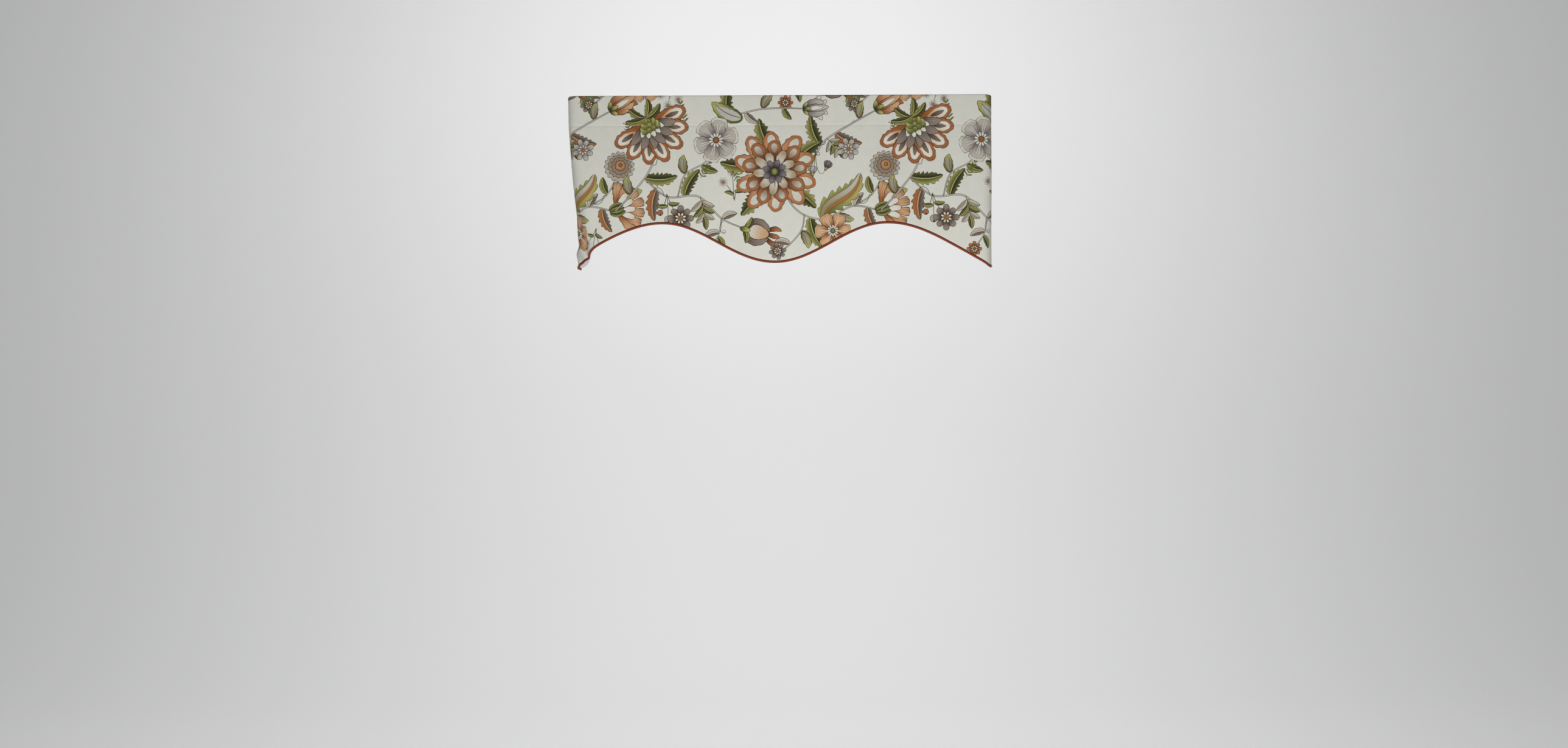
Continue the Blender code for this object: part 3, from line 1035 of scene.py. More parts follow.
def lower_edge(x0, x1, step):
    """Places along the lower edge, crowded where it turns up to the side."""
    level = (CORNER_AT + RETURN_LEVEL) / MM
    low, high = max(x0, -level), min(x1, level)
    turn = level + (CUT_HALF - level) * np.sin(np.linspace(0, pi / 2, 14))[1:]
    flat = np.linspace(low, high, ceil((high - low) / step) + 1)
    xs = np.r_[-turn[::-1] if x0 < -level else [], flat, turn if x1 > level else []]
    return np.stack([xs, cut_y(xs)], 1)


def upright(x, heights):
    """Places on an upright line at x."""
    return np.stack([np.full(len(heights), x), heights], 1)


def level_row(xs, height):
    """Places on a level line."""
    return np.stack([xs, np.full(len(xs), height)], 1)


def side_rows(x, rows):
    """The rows of an upright border at x, from the bottom up."""
    low = cut_y(x)
    return np.r_[low + np.array(ROLLS), rows[(rows > low + EDGE_CLEAR) & (rows < FOOT - WITHIN)]]


def strip_frame(x0, x1, step, fine):
    """A strip's outline and inner places."""
    rows = spread(row_spans(step))
    bottom = lower_edge(x0, x1, fine)
    right, left = (upright(x, side_rows(x, rows)) for x in (x1, x0))
    across = np.linspace(x0, x1, round((x1 - x0) / fine) + 1)
    outline = np.vstack([bottom, right, level_row(across[::-1], FOOT), left[::-1]])
    near_stitches = np.abs(rows[:, None] - STITCH_ROWS).min(1) < SEWN_REACH + 0.5
    inner = []
    for row, crowded in zip(rows, near_stitches):
        if row < FOOT - WITHIN:
            xs = np.linspace(x0, x1, round((x1 - x0) / (fine if crowded else step)) + 1)[1:-1]
            inner.append(level_row(xs[cut_y(xs) < row - EDGE_CLEAR], row))
    x = bottom[:, 0]
    near = bottom[(np.abs(x) < ROLLS_END) & (x > x0 + WITHIN) & (x < x1 - WITHIN)]
    inner += [near + (0, roll) for roll in ROLLS]
    for side, x in ((-1, x0), (1, x1)):
        if abs(x) > CUT_HALF - 1:
            edge = side_rows(x, rows)
            edge = edge[edge > cut_y(side * CUT_HALF) + EDGE_CLEAR - 1]
            inner += [upright(side * (CUT_HALF - roll), edge) for roll in ROLLS]
    return outline, np.vstack(inner)


def counter_clockwise(ring):
    x, y = ring.T
    area = (x * np.roll(y, -1) - np.roll(x, -1) * y).sum()
    return ring if area > 0 else ring[::-1]


def triangulate(places, edges, loops, middle):
    """Triangles over these places, and the loops that each lies in; close to its own middle for accuracy."""
    points = [Vector(p) for p in places - middle]
    got = delaunay_2d_cdt(points, [tuple(e) for e in edges], [list(r) for r in loops], 0, CUT_NEAR, True)
    made = np.array([tuple(v) for v in got[0]], float) + middle
    inside = [k for k, parts in enumerate(got[5]) if 0 in parts]
    return made, np.array([got[2][k] for k in inside]), [got[5][k] for k in inside]


def sides_of(triangles):
    """The three sides of each triangle, as pairs of places."""
    return np.vstack([triangles[:, pair] for pair in ([0, 1], [1, 2], [2, 0])])


def rim_of(triangles):
    """The open edge of a flat mesh, in order."""
    edges = sides_of(triangles)
    size = int(triangles.max()) + 1
    code, back = edges[:, 0] * size + edges[:, 1], edges[:, 1] * size + edges[:, 0]
    after = dict(edges[~np.isin(code, back)])
    start = next(iter(after))
    ring = [start]
    while after[ring[-1]] != start:
        ring.append(after[ring[-1]])
    if len(ring) != len(after):
        raise RuntimeError("the printed cloth has a hole or a loose part")
    return np.array(ring)


def places_on(places, x):
    """Which places lie on an upright border."""
    return np.where(np.abs(places[:, 0] - x) < TOUCHING)[0]


class Strip:
    """A strip of the flat cloth, cut along the print's lines."""

    def __init__(self, x0, x1, rings, step, fine):
        outline, self.inner = strip_frame(x0, x1, step, fine)
        self.sides, self.middle = (x0, x1), np.array([(x0 + x1) / 2, MIDDLE_HEIGHT])
        near = [(owner, ring) for owner, ring in rings if ring[:, 0].max() > x0 and ring[:, 0].min() < x1]
        self.owners = np.array([0] + [owner for owner, _ in near])
        forms = [outline] + [ring for _, ring in near]
        starts = np.cumsum([0] + [len(form) for form in forms])
        loops = [range(a, b) for a, b in zip(starts, starts[1:])]
        places = np.vstack([*forms, self.inner])
        self.places, self.triangles, parts = triangulate(places, [], loops, self.middle)
        boxes = [(form.min(0) - 1, form.max(0) + 1) for form in forms]
        self.shown = np.zeros(len(self.triangles), int)
        for k, (centre, mine) in enumerate(zip(self.places[self.triangles].mean(1), parts)):
            for part in sorted(mine, reverse=True):
                if part == 0 or ((boxes[part][0] < centre).all() and (centre < boxes[part][1]).all()):
                    self.shown[k] = part
                    break

    def grid_places(self):
        """Which places are those of the cloth's own grid."""
        tree = KDTree(len(self.places))
        for k, place in enumerate(self.places - self.middle):
            tree.insert((*place, 0), k)
        tree.balance()
        found = (tree.find((*place, 0)) for place in self.inner - self.middle)
        return [k for _, k, away in found if away < GRID_NEAR]

    def without_hidden_lines(self, seams):
        """The strip cut again along the lines that show, with the agreed places on its two sides."""
        borders = [upright(x, heights) for x, heights in zip(self.sides, seams)]
        for x, border in zip(self.sides, borders):
            mine = places_on(self.places, x)
            nearest = np.abs(self.places[mine, 1][:, None] - border[:, 1]).argmin(1)
            self.places[mine] = border[nearest]
        edges, whose = sides_of(self.triangles), np.tile(self.shown, 3)
        order = np.lexsort((edges.max(1), edges.min(1)))
        edges, whose = np.sort(edges[order], axis=1), whose[order]
        same = (edges[1:] == edges[:-1]).all(1)
        seen = edges[1:][same & (whose[1:] != whose[:-1])]
        rim = rim_of(self.triangles)
        kept = np.zeros(len(self.places), bool)
        kept[seen.ravel()] = kept[rim] = kept[self.grid_places()] = True
        new = np.cumsum(kept) - 1
        points = np.vstack([self.places[kept], *borders])
        final, faces, _ = triangulate(points, new[seen], [new[rim]], self.middle)
        tree = BVHTree.FromPolygons([(*p, 0) for p in self.places - self.middle], self.triangles.tolist())
        found = [tree.find_nearest((*c, 0))[2] for c in final[faces].mean(1) - self.middle]
        return final, faces, self.owners[self.shown[found]]


def agreed_heights(left, right, border):
    """The places on a border that two strips, or one, put there; those that nearly meet are made one."""
    ys = np.sort(np.concatenate([s.places[places_on(s.places, border), 1] for s in (left, right) if s]))
    kept = [ys[0]]
    for y in ys[1:]:
        if y - kept[-1] > SEAM_NEAR:
            kept.append(y)
    return np.array(kept)


def join_strips(strips, borders):
    """The strips as one flat mesh, sewn where they meet."""
    places, triangles, shown = strips[0]
    for (more, corners, owners), border in zip(strips[1:], borders):
        here, there = places_on(places, border), places_on(more, border)
        here, there = here[np.argsort(places[here, 1])], there[np.argsort(more[there, 1])]
        if len(here) != len(there) or np.abs(places[here, 1] - more[there, 1]).max() > TOUCHING:
            raise RuntimeError(f"the strips don't meet at {border:.1f} mm")
        new = np.full(len(more), -1)
        new[there] = here
        fresh = np.where(new < 0)[0]
        new[fresh] = len(places) + np.arange(len(fresh))
        places = np.vstack([places, more[fresh]])
        triangles = np.vstack([triangles, new[corners]])
        shown = np.r_[shown, owners]
    used, triangles = np.unique(triangles, return_inverse=True)
    return places[used], triangles.reshape(-1, 3), shown


def cut_cloth(patches, step, fine):
    """The flat face cloth, cut along the print: places, triangles and the patch that each shows."""
    rings = []
    for k, patch in enumerate(patches, 1):
        ring = patch.outline()
        if ring is not None and ring[:, 1].min() < FOOT and ring[:, 1].max() > LOWEST:
            rings.append((k, counter_clockwise(ring)))
    borders = np.linspace(-CUT_HALF, CUT_HALF, STRIPS + 1)
    cut = [Strip(a, b, rings, step, fine) for a, b in zip(borders, borders[1:])]
    seams = [agreed_heights(a, b, border) for a, b, border in zip([None, *cut], [*cut, None], borders)]
    strips = [strip.without_hidden_lines(pair) for strip, pair in zip(cut, zip(seams, seams[1:]))]
    return join_strips(strips, borders[1:-1])


def reverse_side(ring):
    """The cloth's other side, with the same edge and coarser within it, and the edge's places on it."""
    rows = spread(row_spans(REVERSE_STEP))
    across = np.linspace(-CUT_HALF, CUT_HALF, REVERSE_COLUMNS)[1:-1]
    low, high = REVERSE_CLEAR
    inner = [(x, y) for x in across for y in rows if cut_y(x) + low < y < FOOT - high]
    points = [Vector(p) for p in np.vstack([ring, inner])]
    got = delaunay_2d_cdt(points, [], [list(range(len(ring)))], 0, REVERSE_NEAR, True)
    of_rim = np.empty(len(ring), int)
    for k, sources in enumerate(got[3]):
        for source in sources:
            if source < len(ring):
                of_rim[source] = k
    faces = np.array([face for face, parts in zip(got[2], got[5]) if parts])
    return np.array([tuple(v) for v in got[0]]), faces, of_rim


def edge_roll(x, y, size=EDGE_ROLL):
    """How far the cloth's outer side turns in along its lower edge and sides, in metres."""
    free = np.minimum((y - cut_y(x)) * MM, (CUT_HALF - np.abs(x)) * MM)
    return size * np.clip(1 - free / ROLL_REACH, 0, 1) ** 2


def hang_face(flat, offset):
    """The face cloth's places in the room, offset into it from its outer side."""
    depth, drop = POCKET.lie(-flat[:, 1] * MM, offset)
    return HANG.place(flat[:, 0] * MM, drop, depth)


def new_object(name, vertices, faces, finishes, slots=None):
    mesh = bpy.data.meshes.new(name)
    mesh.from_pydata([tuple(v) for v in vertices], [], [tuple(f) for f in faces])
    for finish in finishes:
        mesh.materials.append(finish)
    if slots is not None:
        mesh.polygons.foreach_set("material_index", np.asarray(slots, np.int32))
    mesh.shade_smooth()
    made = bpy.data.objects.new(name, mesh)
    bpy.context.scene.collection.objects.link(made)
    return made


def add_values(mesh, name, domain, values):
    """Numbers in threes on the mesh, for its materials."""
    kept = mesh.attributes.new(name, "FLOAT_VECTOR", domain)
    kept.data.foreach_set("vector", np.asarray(values, np.float32).ravel())


def patch_values(patches, flat, triangles, shown, inks, count):
    """What each of the cloth's corners tells its material: inks, shading and the place in its form."""
    corners = triangles.reshape(-1)
    values = {name: np.zeros((count, 3)) for name in ("ink", "tip", "second", "shade", "lie", "share")}
    for name in ("ink", "tip", "second"):
        values[name][:] = inks["ivory"]
    owner = np.repeat(shown, 3)
    order = np.argsort(owner, kind="stable")
    starts = np.searchsorted(owner[order], np.arange(len(patches) + 2))
    chance = np.random.default_rng(7).random(len(patches) + 1)
    for k, patch in enumerate(patches, 1):
        mine = order[starts[k] : starts[k + 1]]
        if not len(mine):
            continue
        for name, ink in zip(("ink", "tip", "second"), patch.inks):
            values[name][mine] = inks[ink]
        values["shade"][mine] = patch.shade
        along, across, share, side = patch.form.local(patch.spot.back(flat[corners[mine]]))
        values["lie"][mine] = np.stack([along, across, side * patch.form.half], 1)
        values["share"][mine] = np.stack([share, side, np.full(len(mine), chance[k])], 1)
    return values


def lay_out_cloth(mesh, flat, print_faces):
    """The flat cloth as its own bake layout: two halves of the printed side, and the reverse beside them."""
    # the layout is a square of side 1, and size turns millimetres of cloth into its units
    lowest = cut_y(-CORNER_AT / MM)
    size = BAKE_SIDE / (2 * (FOOT - lowest) + BAKE_ROOM)
    low = float(lowest) - BAKE_LOW
    corners = np.empty(len(mesh.loops), np.int32)
    mesh.loops.foreach_get("vertex_index", corners)
    x, y = flat[corners].T
    sizes = np.array([len(p.vertices) for p in mesh.polygons])
    face = np.repeat(np.arange(len(sizes)), sizes)
    middle = np.zeros(len(sizes))
    np.add.at(middle, face, x)
    right = (middle / sizes > 0)[face]
    front = face < print_faces
    (left, below), (small, short) = BAKE_MARGIN, BAKED_REVERSE
    beside = (y - low) * size * small + CUT_HALF * size + BAKE_GAP
    u = np.where(front, (x + np.where(right, 0, CUT_HALF)) * size + left, beside)
    along = (x + CUT_HALF) * size * short + left
    v = np.where(front, (y - low) * size + np.where(right, 0.5, 0) + below, along)
    layer = mesh.uv_layers.new(name="OFBake")
    layer.uv.foreach_set("vector", np.stack([u, v], 1).astype(np.float32).ravel())


def make_face(sizes, inks):
    """The printed face cloth, from its shaped edge up over the rod's place to the pocket's foot."""
    patches = whole_print()
    flat, triangles, shown = cut_cloth(patches, sizes.cloth_grid / MM, sizes.edge_grid / MM)
    rim = rim_of(triangles)
    back_flat, back, back_rim = reverse_side(flat[rim])
    outer_side = hang_face(flat, edge_roll(*flat.T))
    inner_side = hang_face(back_flat, FACE_THICK)
    shift = len(flat)
    inner_rim = back_rim + shift
    edge = np.stack([np.roll(rim, -1), rim, inner_rim, np.roll(inner_rim, -1)], 1)
    faces = [*triangles.tolist(), *(back[:, ::-1] + shift).tolist(), *edge.tolist()]
    finish_of = np.array([0] + [FINISHES.index(patch.finish) for patch in patches])
    slots = np.r_[finish_of[shown], np.full(len(back), len(FINISHES)), np.zeros(len(rim))]
    finishes = [printed_material(kind, sizes) for kind in FINISHES] + [reverse_material(sizes, inks)]
    made = new_object("printed_face", np.vstack([outer_side, inner_side]), faces, finishes, slots)
    mesh = made.data
    everywhere = np.vstack([flat, back_flat])
    for name, values in patch_values(patches, flat, triangles, shown, inks, len(mesh.loops)).items():
        add_values(mesh, name, "CORNER", values)
    add_values(mesh, "flat", "POINT", np.c_[everywhere * MM, np.zeros(len(everywhere))])
    lay_out_cloth(mesh, everywhere, len(triangles))
    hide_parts("face_panel", "rod_pocket")
    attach(made, "root")
    return made


def two_sided_grid(n, m):
    """The faces of a thin closed grid: its outer side, its inner side and the edge between them."""
    i, j = np.meshgrid(np.arange(n - 1), np.arange(m - 1), indexing="ij")
    a = (i * m + j).ravel()
    outer = np.stack([a, a + m, a + m + 1, a + 1], 1)
    first, last = np.arange(m - 1), (n - 1) * m + np.arange(m - 1, 0, -1)
    ring = np.r_[first, (m - 1) + m * np.arange(n - 1), last, m * np.arange(n - 1, 0, -1)]
    a, b = ring, np.roll(ring, -1)
    edge = np.stack([a, b, b + n * m, a + n * m], 1)
    return [*outer.tolist(), *(outer[:, ::-1] + n * m).tolist(), *edge.tolist()]


def make_lining(sizes, colours):
    """The lining, from the pocket's stitching down, sewn to the face along the shaped edge."""
    bottom = lower_edge(-CUT_HALF, CUT_HALF, LINING_STEP)
    shares = np.array(LINING_ROWS)
    low = -bottom[:, 1] - LINING_SHORT / MM
    t = POCKET_DROP / MM + (low[:, None] - POCKET_DROP / MM) * shares
    x = np.broadcast_to(bottom[:, :1], t.shape)
    u, drop = x * MM, t * MM
    # the lining is a little fuller than the face, so it falls back from it in soft hollows
    edge = np.minimum(np.minimum(shares, 1 - shares) * LINING_HELD, 1)[None]
    edge = edge * ease((HALF_WIDTH - np.abs(u)) / LINING_FREE)
    height, across, down, sway = HOLLOW
    soft = height * (1 + np.sin(u * across + sway * np.sin(drop * down)))
    height, across, down, phase = RIPPLE
    soft = soft + height * (1 + np.sin(u * across - drop * down + phase))
    behind = soft * ease(edge)
    inner = HANG.place(u, drop, LINING_DEPTH + behind)
    outer = HANG.place(u, drop, LINING_DEPTH + LINING_THICK + behind - edge_roll(x, -t, LINING_ROLL))
    places = np.vstack([inner.reshape(-1, 3), outer.reshape(-1, 3)])
    faces = [f[::-1] for f in two_sided_grid(*t.shape)]
    made = new_object("sateen_lining", places, faces, [lining_material(sizes, colours)])
    flat = np.stack([u.ravel(), -drop.ravel(), np.zeros(u.size)], 1)
    add_values(made.data, "flat", "POINT", np.vstack([flat, flat]))
    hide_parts("lining")
    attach(made, "root")
    return made


def cord_shape(turn, run, radius):
    """How far the welt's cover is from the cord's middle, for each place along it and turn round it."""
    away = np.minimum(turn, 2 * pi - turn)
    reach = np.where(away < LIP_TURN * 1.5, (WELT_GAP + LIP_REACH) / radius, 0)
    lip = 1 + LIP_SWELL[0] * np.exp(-((away / LIP_SWELL[1]) ** 2)) + reach
    groove = GROOVE[0] * np.exp(-(((away - GROOVE[1]) / GROOVE[2]) ** 2))
    wave, ((short, pitch), (long, slow)) = run * 2 * pi, PULLS
    wander = PULL_WANDER[0] * np.sin(run * PULL_WANDER[1])
    pull = short * np.sin(wave / pitch + wander) + long * np.sin(wave / slow + 2)
    pulled = 1 + pull[:, None] * np.cos(turn - PULL_SIDE[0])[None] * PULL_SIDE[1]
    shape = (lip - groove)[None] * radius * pulled
    for k, size in enumerate(ROUNDED_ENDS):
        shape[[k, -1 - k]] *= size
    return shape


def tube_faces(rows, around):
    """The faces of a closed tube: the sides between its rings, and its two ends."""
    i, j = np.meshgrid(np.arange(rows - 1), np.arange(around), indexing="ij")
    a, b = (i * around + j).ravel(), (i * around + (j + 1) % around).ravel()
    ends = list(range(around))[::-1], list(range((rows - 1) * around, rows * around))
    return [*np.stack([a, b, b + around, a + around], 1).tolist(), *ends]


def make_welt(sizes, colours):
    """The covered cord along the shaped edge, with the lip that is sewn between the layers."""
    radius = sizes.welt_radius
    end = CORNER_AT + RETURN_LEVEL
    u = np.linspace(-end, end, ceil(2 * end / WELT_STEP) + 1)
    edge = HANG.place(u, cut_drop(u), WELT_DEPTH)
    along = np.gradient(edge, axis=0)
    along /= np.linalg.norm(along, axis=1, keepdims=True)
    out = np.cross(HANG.inwards(u, cut_drop(u)), along)
    out /= np.linalg.norm(out, axis=1, keepdims=True)
    into = np.cross(along, out)
    middle = edge + out * (radius + WELT_GAP)
    # round the cord from the cloth's side; the first and last places are the lip between the layers
    turn = np.r_[LIP_TURN, np.linspace(LIP_TURN * 2, 2 * pi - LIP_TURN * 2, CORD_SIDES), 2 * pi - LIP_TURN]
    run = np.r_[0, np.cumsum(np.linalg.norm(np.diff(middle, axis=0), axis=1))]
    shape = cord_shape(turn, run, radius)
    cosine, sine = np.cos(turn)[:, None], np.sin(turn)[:, None]
    rings = middle[:, None] + shape[..., None] * (-out[:, None] * cosine + into[:, None] * sine)
    finishes = [welt_material(sizes, colours)]
    made = new_object("bias_welt", rings.reshape(-1, 3), tube_faces(*shape.shape), finishes)
    volume = sum(p.center.dot(p.normal) * p.area for p in made.data.polygons)
    if volume < 0:
        made.data.flip_normals()
    signed = np.where(turn > pi, turn - 2 * pi, turn) * radius
    wrap = np.stack(np.broadcast_arrays(run[:, None], signed[None], 0.0), -1)
    add_values(made.data, "wrap", "POINT", wrap.reshape(-1, 3))
    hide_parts("welt_cord")
    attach(made, "root")
    return made


# ---------------------------------------------------------------- the materials

VEIN_PITCH, HATCH_PITCH = 5.2, 1.3
DOT_STEP, DOT_ROW = 3.3, 2.9
LATTICE = 3.6


class Wire:
    """A number or vector in a node tree, so that a pattern reads as its sum."""

    def __init__(self, tree, socket):
        self.tree, self.socket = tree, socket

    def node(self, kind, inputs, settings=(), out=0):
        made = self.tree.nodes.new(kind)
        for name, value in dict(settings).items():
            setattr(made, name, value)
        for name, value in inputs.items():
            if isinstance(value, Wire):
                self.tree.links.new(value.socket, made.inputs[name])
            else:
                made.inputs[name].default_value = value
        return Wire(self.tree, made.outputs[out])

    def math(self, operation, *others):
        return self.node("ShaderNodeMath", dict(enumerate((self, *others))), {"operation": operation})

    __add__ = partialmethod(math, "ADD")
    __sub__ = partialmethod(math, "SUBTRACT")
    __mul__ = partialmethod(math, "MULTIPLY")
    __truediv__ = partialmethod(math, "DIVIDE")
    __pow__ = partialmethod(math, "POWER")
    sine = partialmethod(math, "SINE")
    part = partialmethod(math, "FRACT")
    whole = partialmethod(math, "FLOOR")
    size = partialmethod(math, "ABSOLUTE")
    most = partialmethod(math, "MAXIMUM")

    def step(self, low, high, start=0.0, end=1.0):
        """A smooth step from start to end as the number goes from low to high."""
        inputs = {"Value": self, "From Min": low, "From Max": high, "To Min": start, "To Max": end}
        return self.node("ShaderNodeMapRange", inputs, {"interpolation_type": "SMOOTHSTEP"})

    def beside(self, out):
        """Another result of the same node."""
        return Wire(self.tree, self.socket.node.outputs[out])

    def split(self):
        """Its three numbers."""
        first = self.node("ShaderNodeSeparateXYZ", {"Vector": self})
        return [first.beside(out) for out in (0, 1, 2)]

    def vector(self, y, z=0.0):
        return self.node("ShaderNodeCombineXYZ", {"X": self, "Y": y, "Z": z})

    def noise(self, scale, detail):
        """Soft noise, from 0 to 1."""
        return self.node("ShaderNodeTexNoise", {"Vector": self, "Scale": scale, "Detail": detail})

    def chance(self, other):
        """A random number for each whole pair of numbers."""
        pair = self.vector(other)
        return self.node("ShaderNodeTexWhiteNoise", {"Vector": pair}, {"noise_dimensions": "2D"})

    def blend(self, first, second):
        """Two colours mixed by this number."""
        inputs = {0: self}
        for slot, value in ((6, first), (7, second)):
            inputs[slot] = value if isinstance(value, Wire) else (*value, 1)
        return self.node("ShaderNodeMix", inputs, {"data_type": "RGBA", "clamp_factor": True}, 2)


def attribute(material, name):
    made = material.node_tree.nodes.new("ShaderNodeAttribute")
    made.attribute_name = name
    return Wire(material.node_tree, made.outputs["Vector"])


def object_place(material):
    made = material.node_tree.nodes.new("ShaderNodeTexCoord")
    return Wire(material.node_tree, made.outputs["Object"])


def cloth_material(name, sheen=0.05, level=0.2):
    """A material with its shader ready."""
    material = bpy.data.materials.new(name)
    material.use_nodes = True
    inputs = material.node_tree.nodes["Principled BSDF"].inputs
    inputs["Sheen Weight"].default_value = sheen
    inputs["Sheen Roughness"].default_value = 0.5
    inputs["Specular IOR Level"].default_value = level
    return material


def finish_cloth(material, colour, height, rough, depth):
    """Colour, roughness and bump to the shader; height is 0 to 1, and depth is in metres."""
    inputs = material.node_tree.nodes["Principled BSDF"].inputs
    bump = height.node("ShaderNodeBump", {"Height": height, "Distance": depth, "Strength": 1.0})
    for name, wire in (("Base Color", colour), ("Roughness", rough), ("Normal", bump)):
        material.node_tree.links.new(wire.socket, inputs[name])
    return material


def darker(colour, share):
    """A colour at this share of its strength."""
    return tuple(c * share for c in colour)


def plain_weave(x, y, pitch):
    """Threads over and under each other: the height from 0 to 1, and each thread's own thickness."""
    across, down = x * (pi / pitch), y * (pi / pitch)
    over = (across.sine() * down.sine()) * 0.5 + 0.5
    slub = (x * 900).vector(y * 35).noise(1.0, 1.0) + (x * 35).vector(y * 900).noise(1.0, 1.0)
    return over, slub * 0.5


def stroke_ink(lie, share, shade, inks):
    """Engraved strokes that run out from the base and the tip, and crowd at the edges."""
    along, _, fan = lie.split()
    s, side, chance = share.split()
    base, tip, edge = shade.split()
    wander = (along * 0.06).vector(fan * 0.2, chance * 40).noise(1.0, 1.0) - 0.5
    line = fan * 0.8 + wander * 1.6
    luck = line.whole().chance(chance * 91)
    off = (line.part() - 0.5).size() * 2
    from_base = base * (s / (luck * 0.5 + 0.3)).step(0, 1, 1, 0)
    from_tip = tip * (s + luck * 0.35).step(0.82, 1.25)
    from_edge = edge * (side.size() + luck * 0.25).step(0.62, 1.15)
    wide = from_base.most(from_tip).most(from_edge)
    mask = (wide - off * 0.9).step(-0.05, 0.22)
    body = (s + (luck - 0.5) * 0.35).step(0.1, 0.9).blend(inks[0], inks[1])
    return (mask * 0.85).blend(body, inks[2])


def vein_ink(lie, share, shade, inks):
    """Side veins that slant from the rib, with fine shading beside them."""
    along, across, _ = lie.split()
    _, side, chance = share.split()
    _, near, _ = shade.split()
    wander = (along * 0.12).vector(across * 0.12, chance * 30).noise(1.0, 1.0)
    slant = along - across.size() * 1.15 + wander * 1.6
    between = (slant / VEIN_PITCH).part()
    vein, hatch = (((slant / pitch).part() - 0.5).size() * 2 for pitch in (VEIN_PITCH, HATCH_PITCH))
    body = (side.size() * 0.8 + between * 0.3).step(0.1, 1.0).blend(inks[0], inks[1])
    hatched = (near * side.size().step(0.0, 0.75, 1.4, 0.1) - hatch * 0.6).step(-0.05, 0.25) * 0.6
    return hatched.most(vein.step(0.10, 0.26, 0.85, 0)).blend(body, inks[2])


def dot_ink(lie, share, shade, inks):
    """Rows of dots, every other row set over by half."""
    along, across, _ = lie.split()
    row = across / DOT_ROW
    x = ((along / DOT_STEP + (row.whole() * 0.5).part()).part() - 0.5) * DOT_STEP
    y = (row.part() - 0.5) * DOT_ROW
    body = share.split()[0].step(0.1, 0.9).blend(inks[0], inks[1])
    return (x**2.0 + y**2.0).step(0.35, 1.0, 0.85, 0).blend(body, inks[2])


def cross_ink(lie, share, shade, inks):
    """A lattice of fine lines with a point in each opening."""
    along, across, _ = lie.split()
    x, y = (((one / LATTICE).part() - 0.5) for one in (along + across, along - across))
    line = x.size().most(y.size()).step(0.36, 0.44)
    point = (x**2.0 + y**2.0).step(0.008, 0.03, 0.8, 0)
    body = share.split()[0].step(0.1, 0.9).blend(inks[0], inks[1])
    return (line * 0.8).most(point).blend(body, inks[2])


INK_LAYERS = {"engraved": stroke_ink, "veined": vein_ink, "dotted": dot_ink, "crossed": cross_ink}


def printed_material(kind, sizes):
    """The printed cotton: one material for each way that the ink is laid."""
    material = cloth_material("printed_cotton_" + kind)
    x, y, _ = attribute(material, "flat").split()
    colour, *others = (attribute(material, name) for name in ("ink", "tip", "second"))
    if kind in INK_LAYERS:
        placed = (attribute(material, name) for name in ("lie", "share", "shade"))
        colour = INK_LAYERS[kind](*placed, [colour, *others])
    weave, slub = plain_weave(x, y, sizes.thread_pitch)
    worn = x.vector(y).noise(38.0, 3.0)
    # the threads' crowns are painted lighter than the hollows between them, partly the ink's uneven cover
    # and partly painted highlight on the weave, and the cloth is never quite even
    tone = weave * 0.07 + (slub - 0.5) * 0.16 + (worn - 0.5) * 0.10 + 0.965
    toned = {0: tone.vector(tone, tone), 1: colour}
    colour = tone.node("ShaderNodeVectorMath", toned, {"operation": "MULTIPLY"})
    rough = worn * 0.12 + slub * 0.1 + (0.74 if kind == "ground" else 0.70)
    return finish_cloth(material, colour, weave * 0.7 + slub * 0.5, rough, depth=0.00010)


def reverse_material(sizes, inks):
    """The unprinted side of the face cloth, seen in the open ends of the pocket."""
    material = cloth_material("printed_cotton_reverse")
    x, y, _ = attribute(material, "flat").split()
    weave, slub = plain_weave(x, y, sizes.thread_pitch)
    ghost = x.vector(y).noise(16.0, 3.0).step(0.5, 0.62)
    pale = inks["ivory"]
    stained = tuple(c * k for c, k in zip(pale, (0.86, 0.82, 0.76)))
    colour = (ghost * 0.5 + slub * 0.2).blend(pale, stained)
    return finish_cloth(material, colour, weave * 0.7 + slub * 0.5, slub * 0.15 + 0.78, depth=0.00010)


def lining_material(sizes, colours):
    """A sateen lining: long floats that give it a faint even sheen."""
    material = cloth_material("lining_sateen", sheen=0.08, level=0.4)
    x, y, _ = attribute(material, "flat").split()
    pitch = sizes.thread_pitch * 0.8
    floats = (x * (pi / pitch)).sine() * 0.4 + ((x + y * 0.33) * (pi / pitch / 2.5)).sine() * 0.25 + 0.5
    slub = (x * 700).vector(y * 20).noise(1.0, 1.0)
    cloudy = x.vector(y).noise(22.0, 4.0)
    pale = colours.lining
    colour = (cloudy * 0.6 + slub * 0.3).step(0.3, 0.75).blend(pale, darker(pale, 0.93))
    rough = slub * 0.12 + cloudy * 0.1 + 0.55
    return finish_cloth(material, colour, floats * 0.5 + slub * 0.6, rough, depth=0.00009)


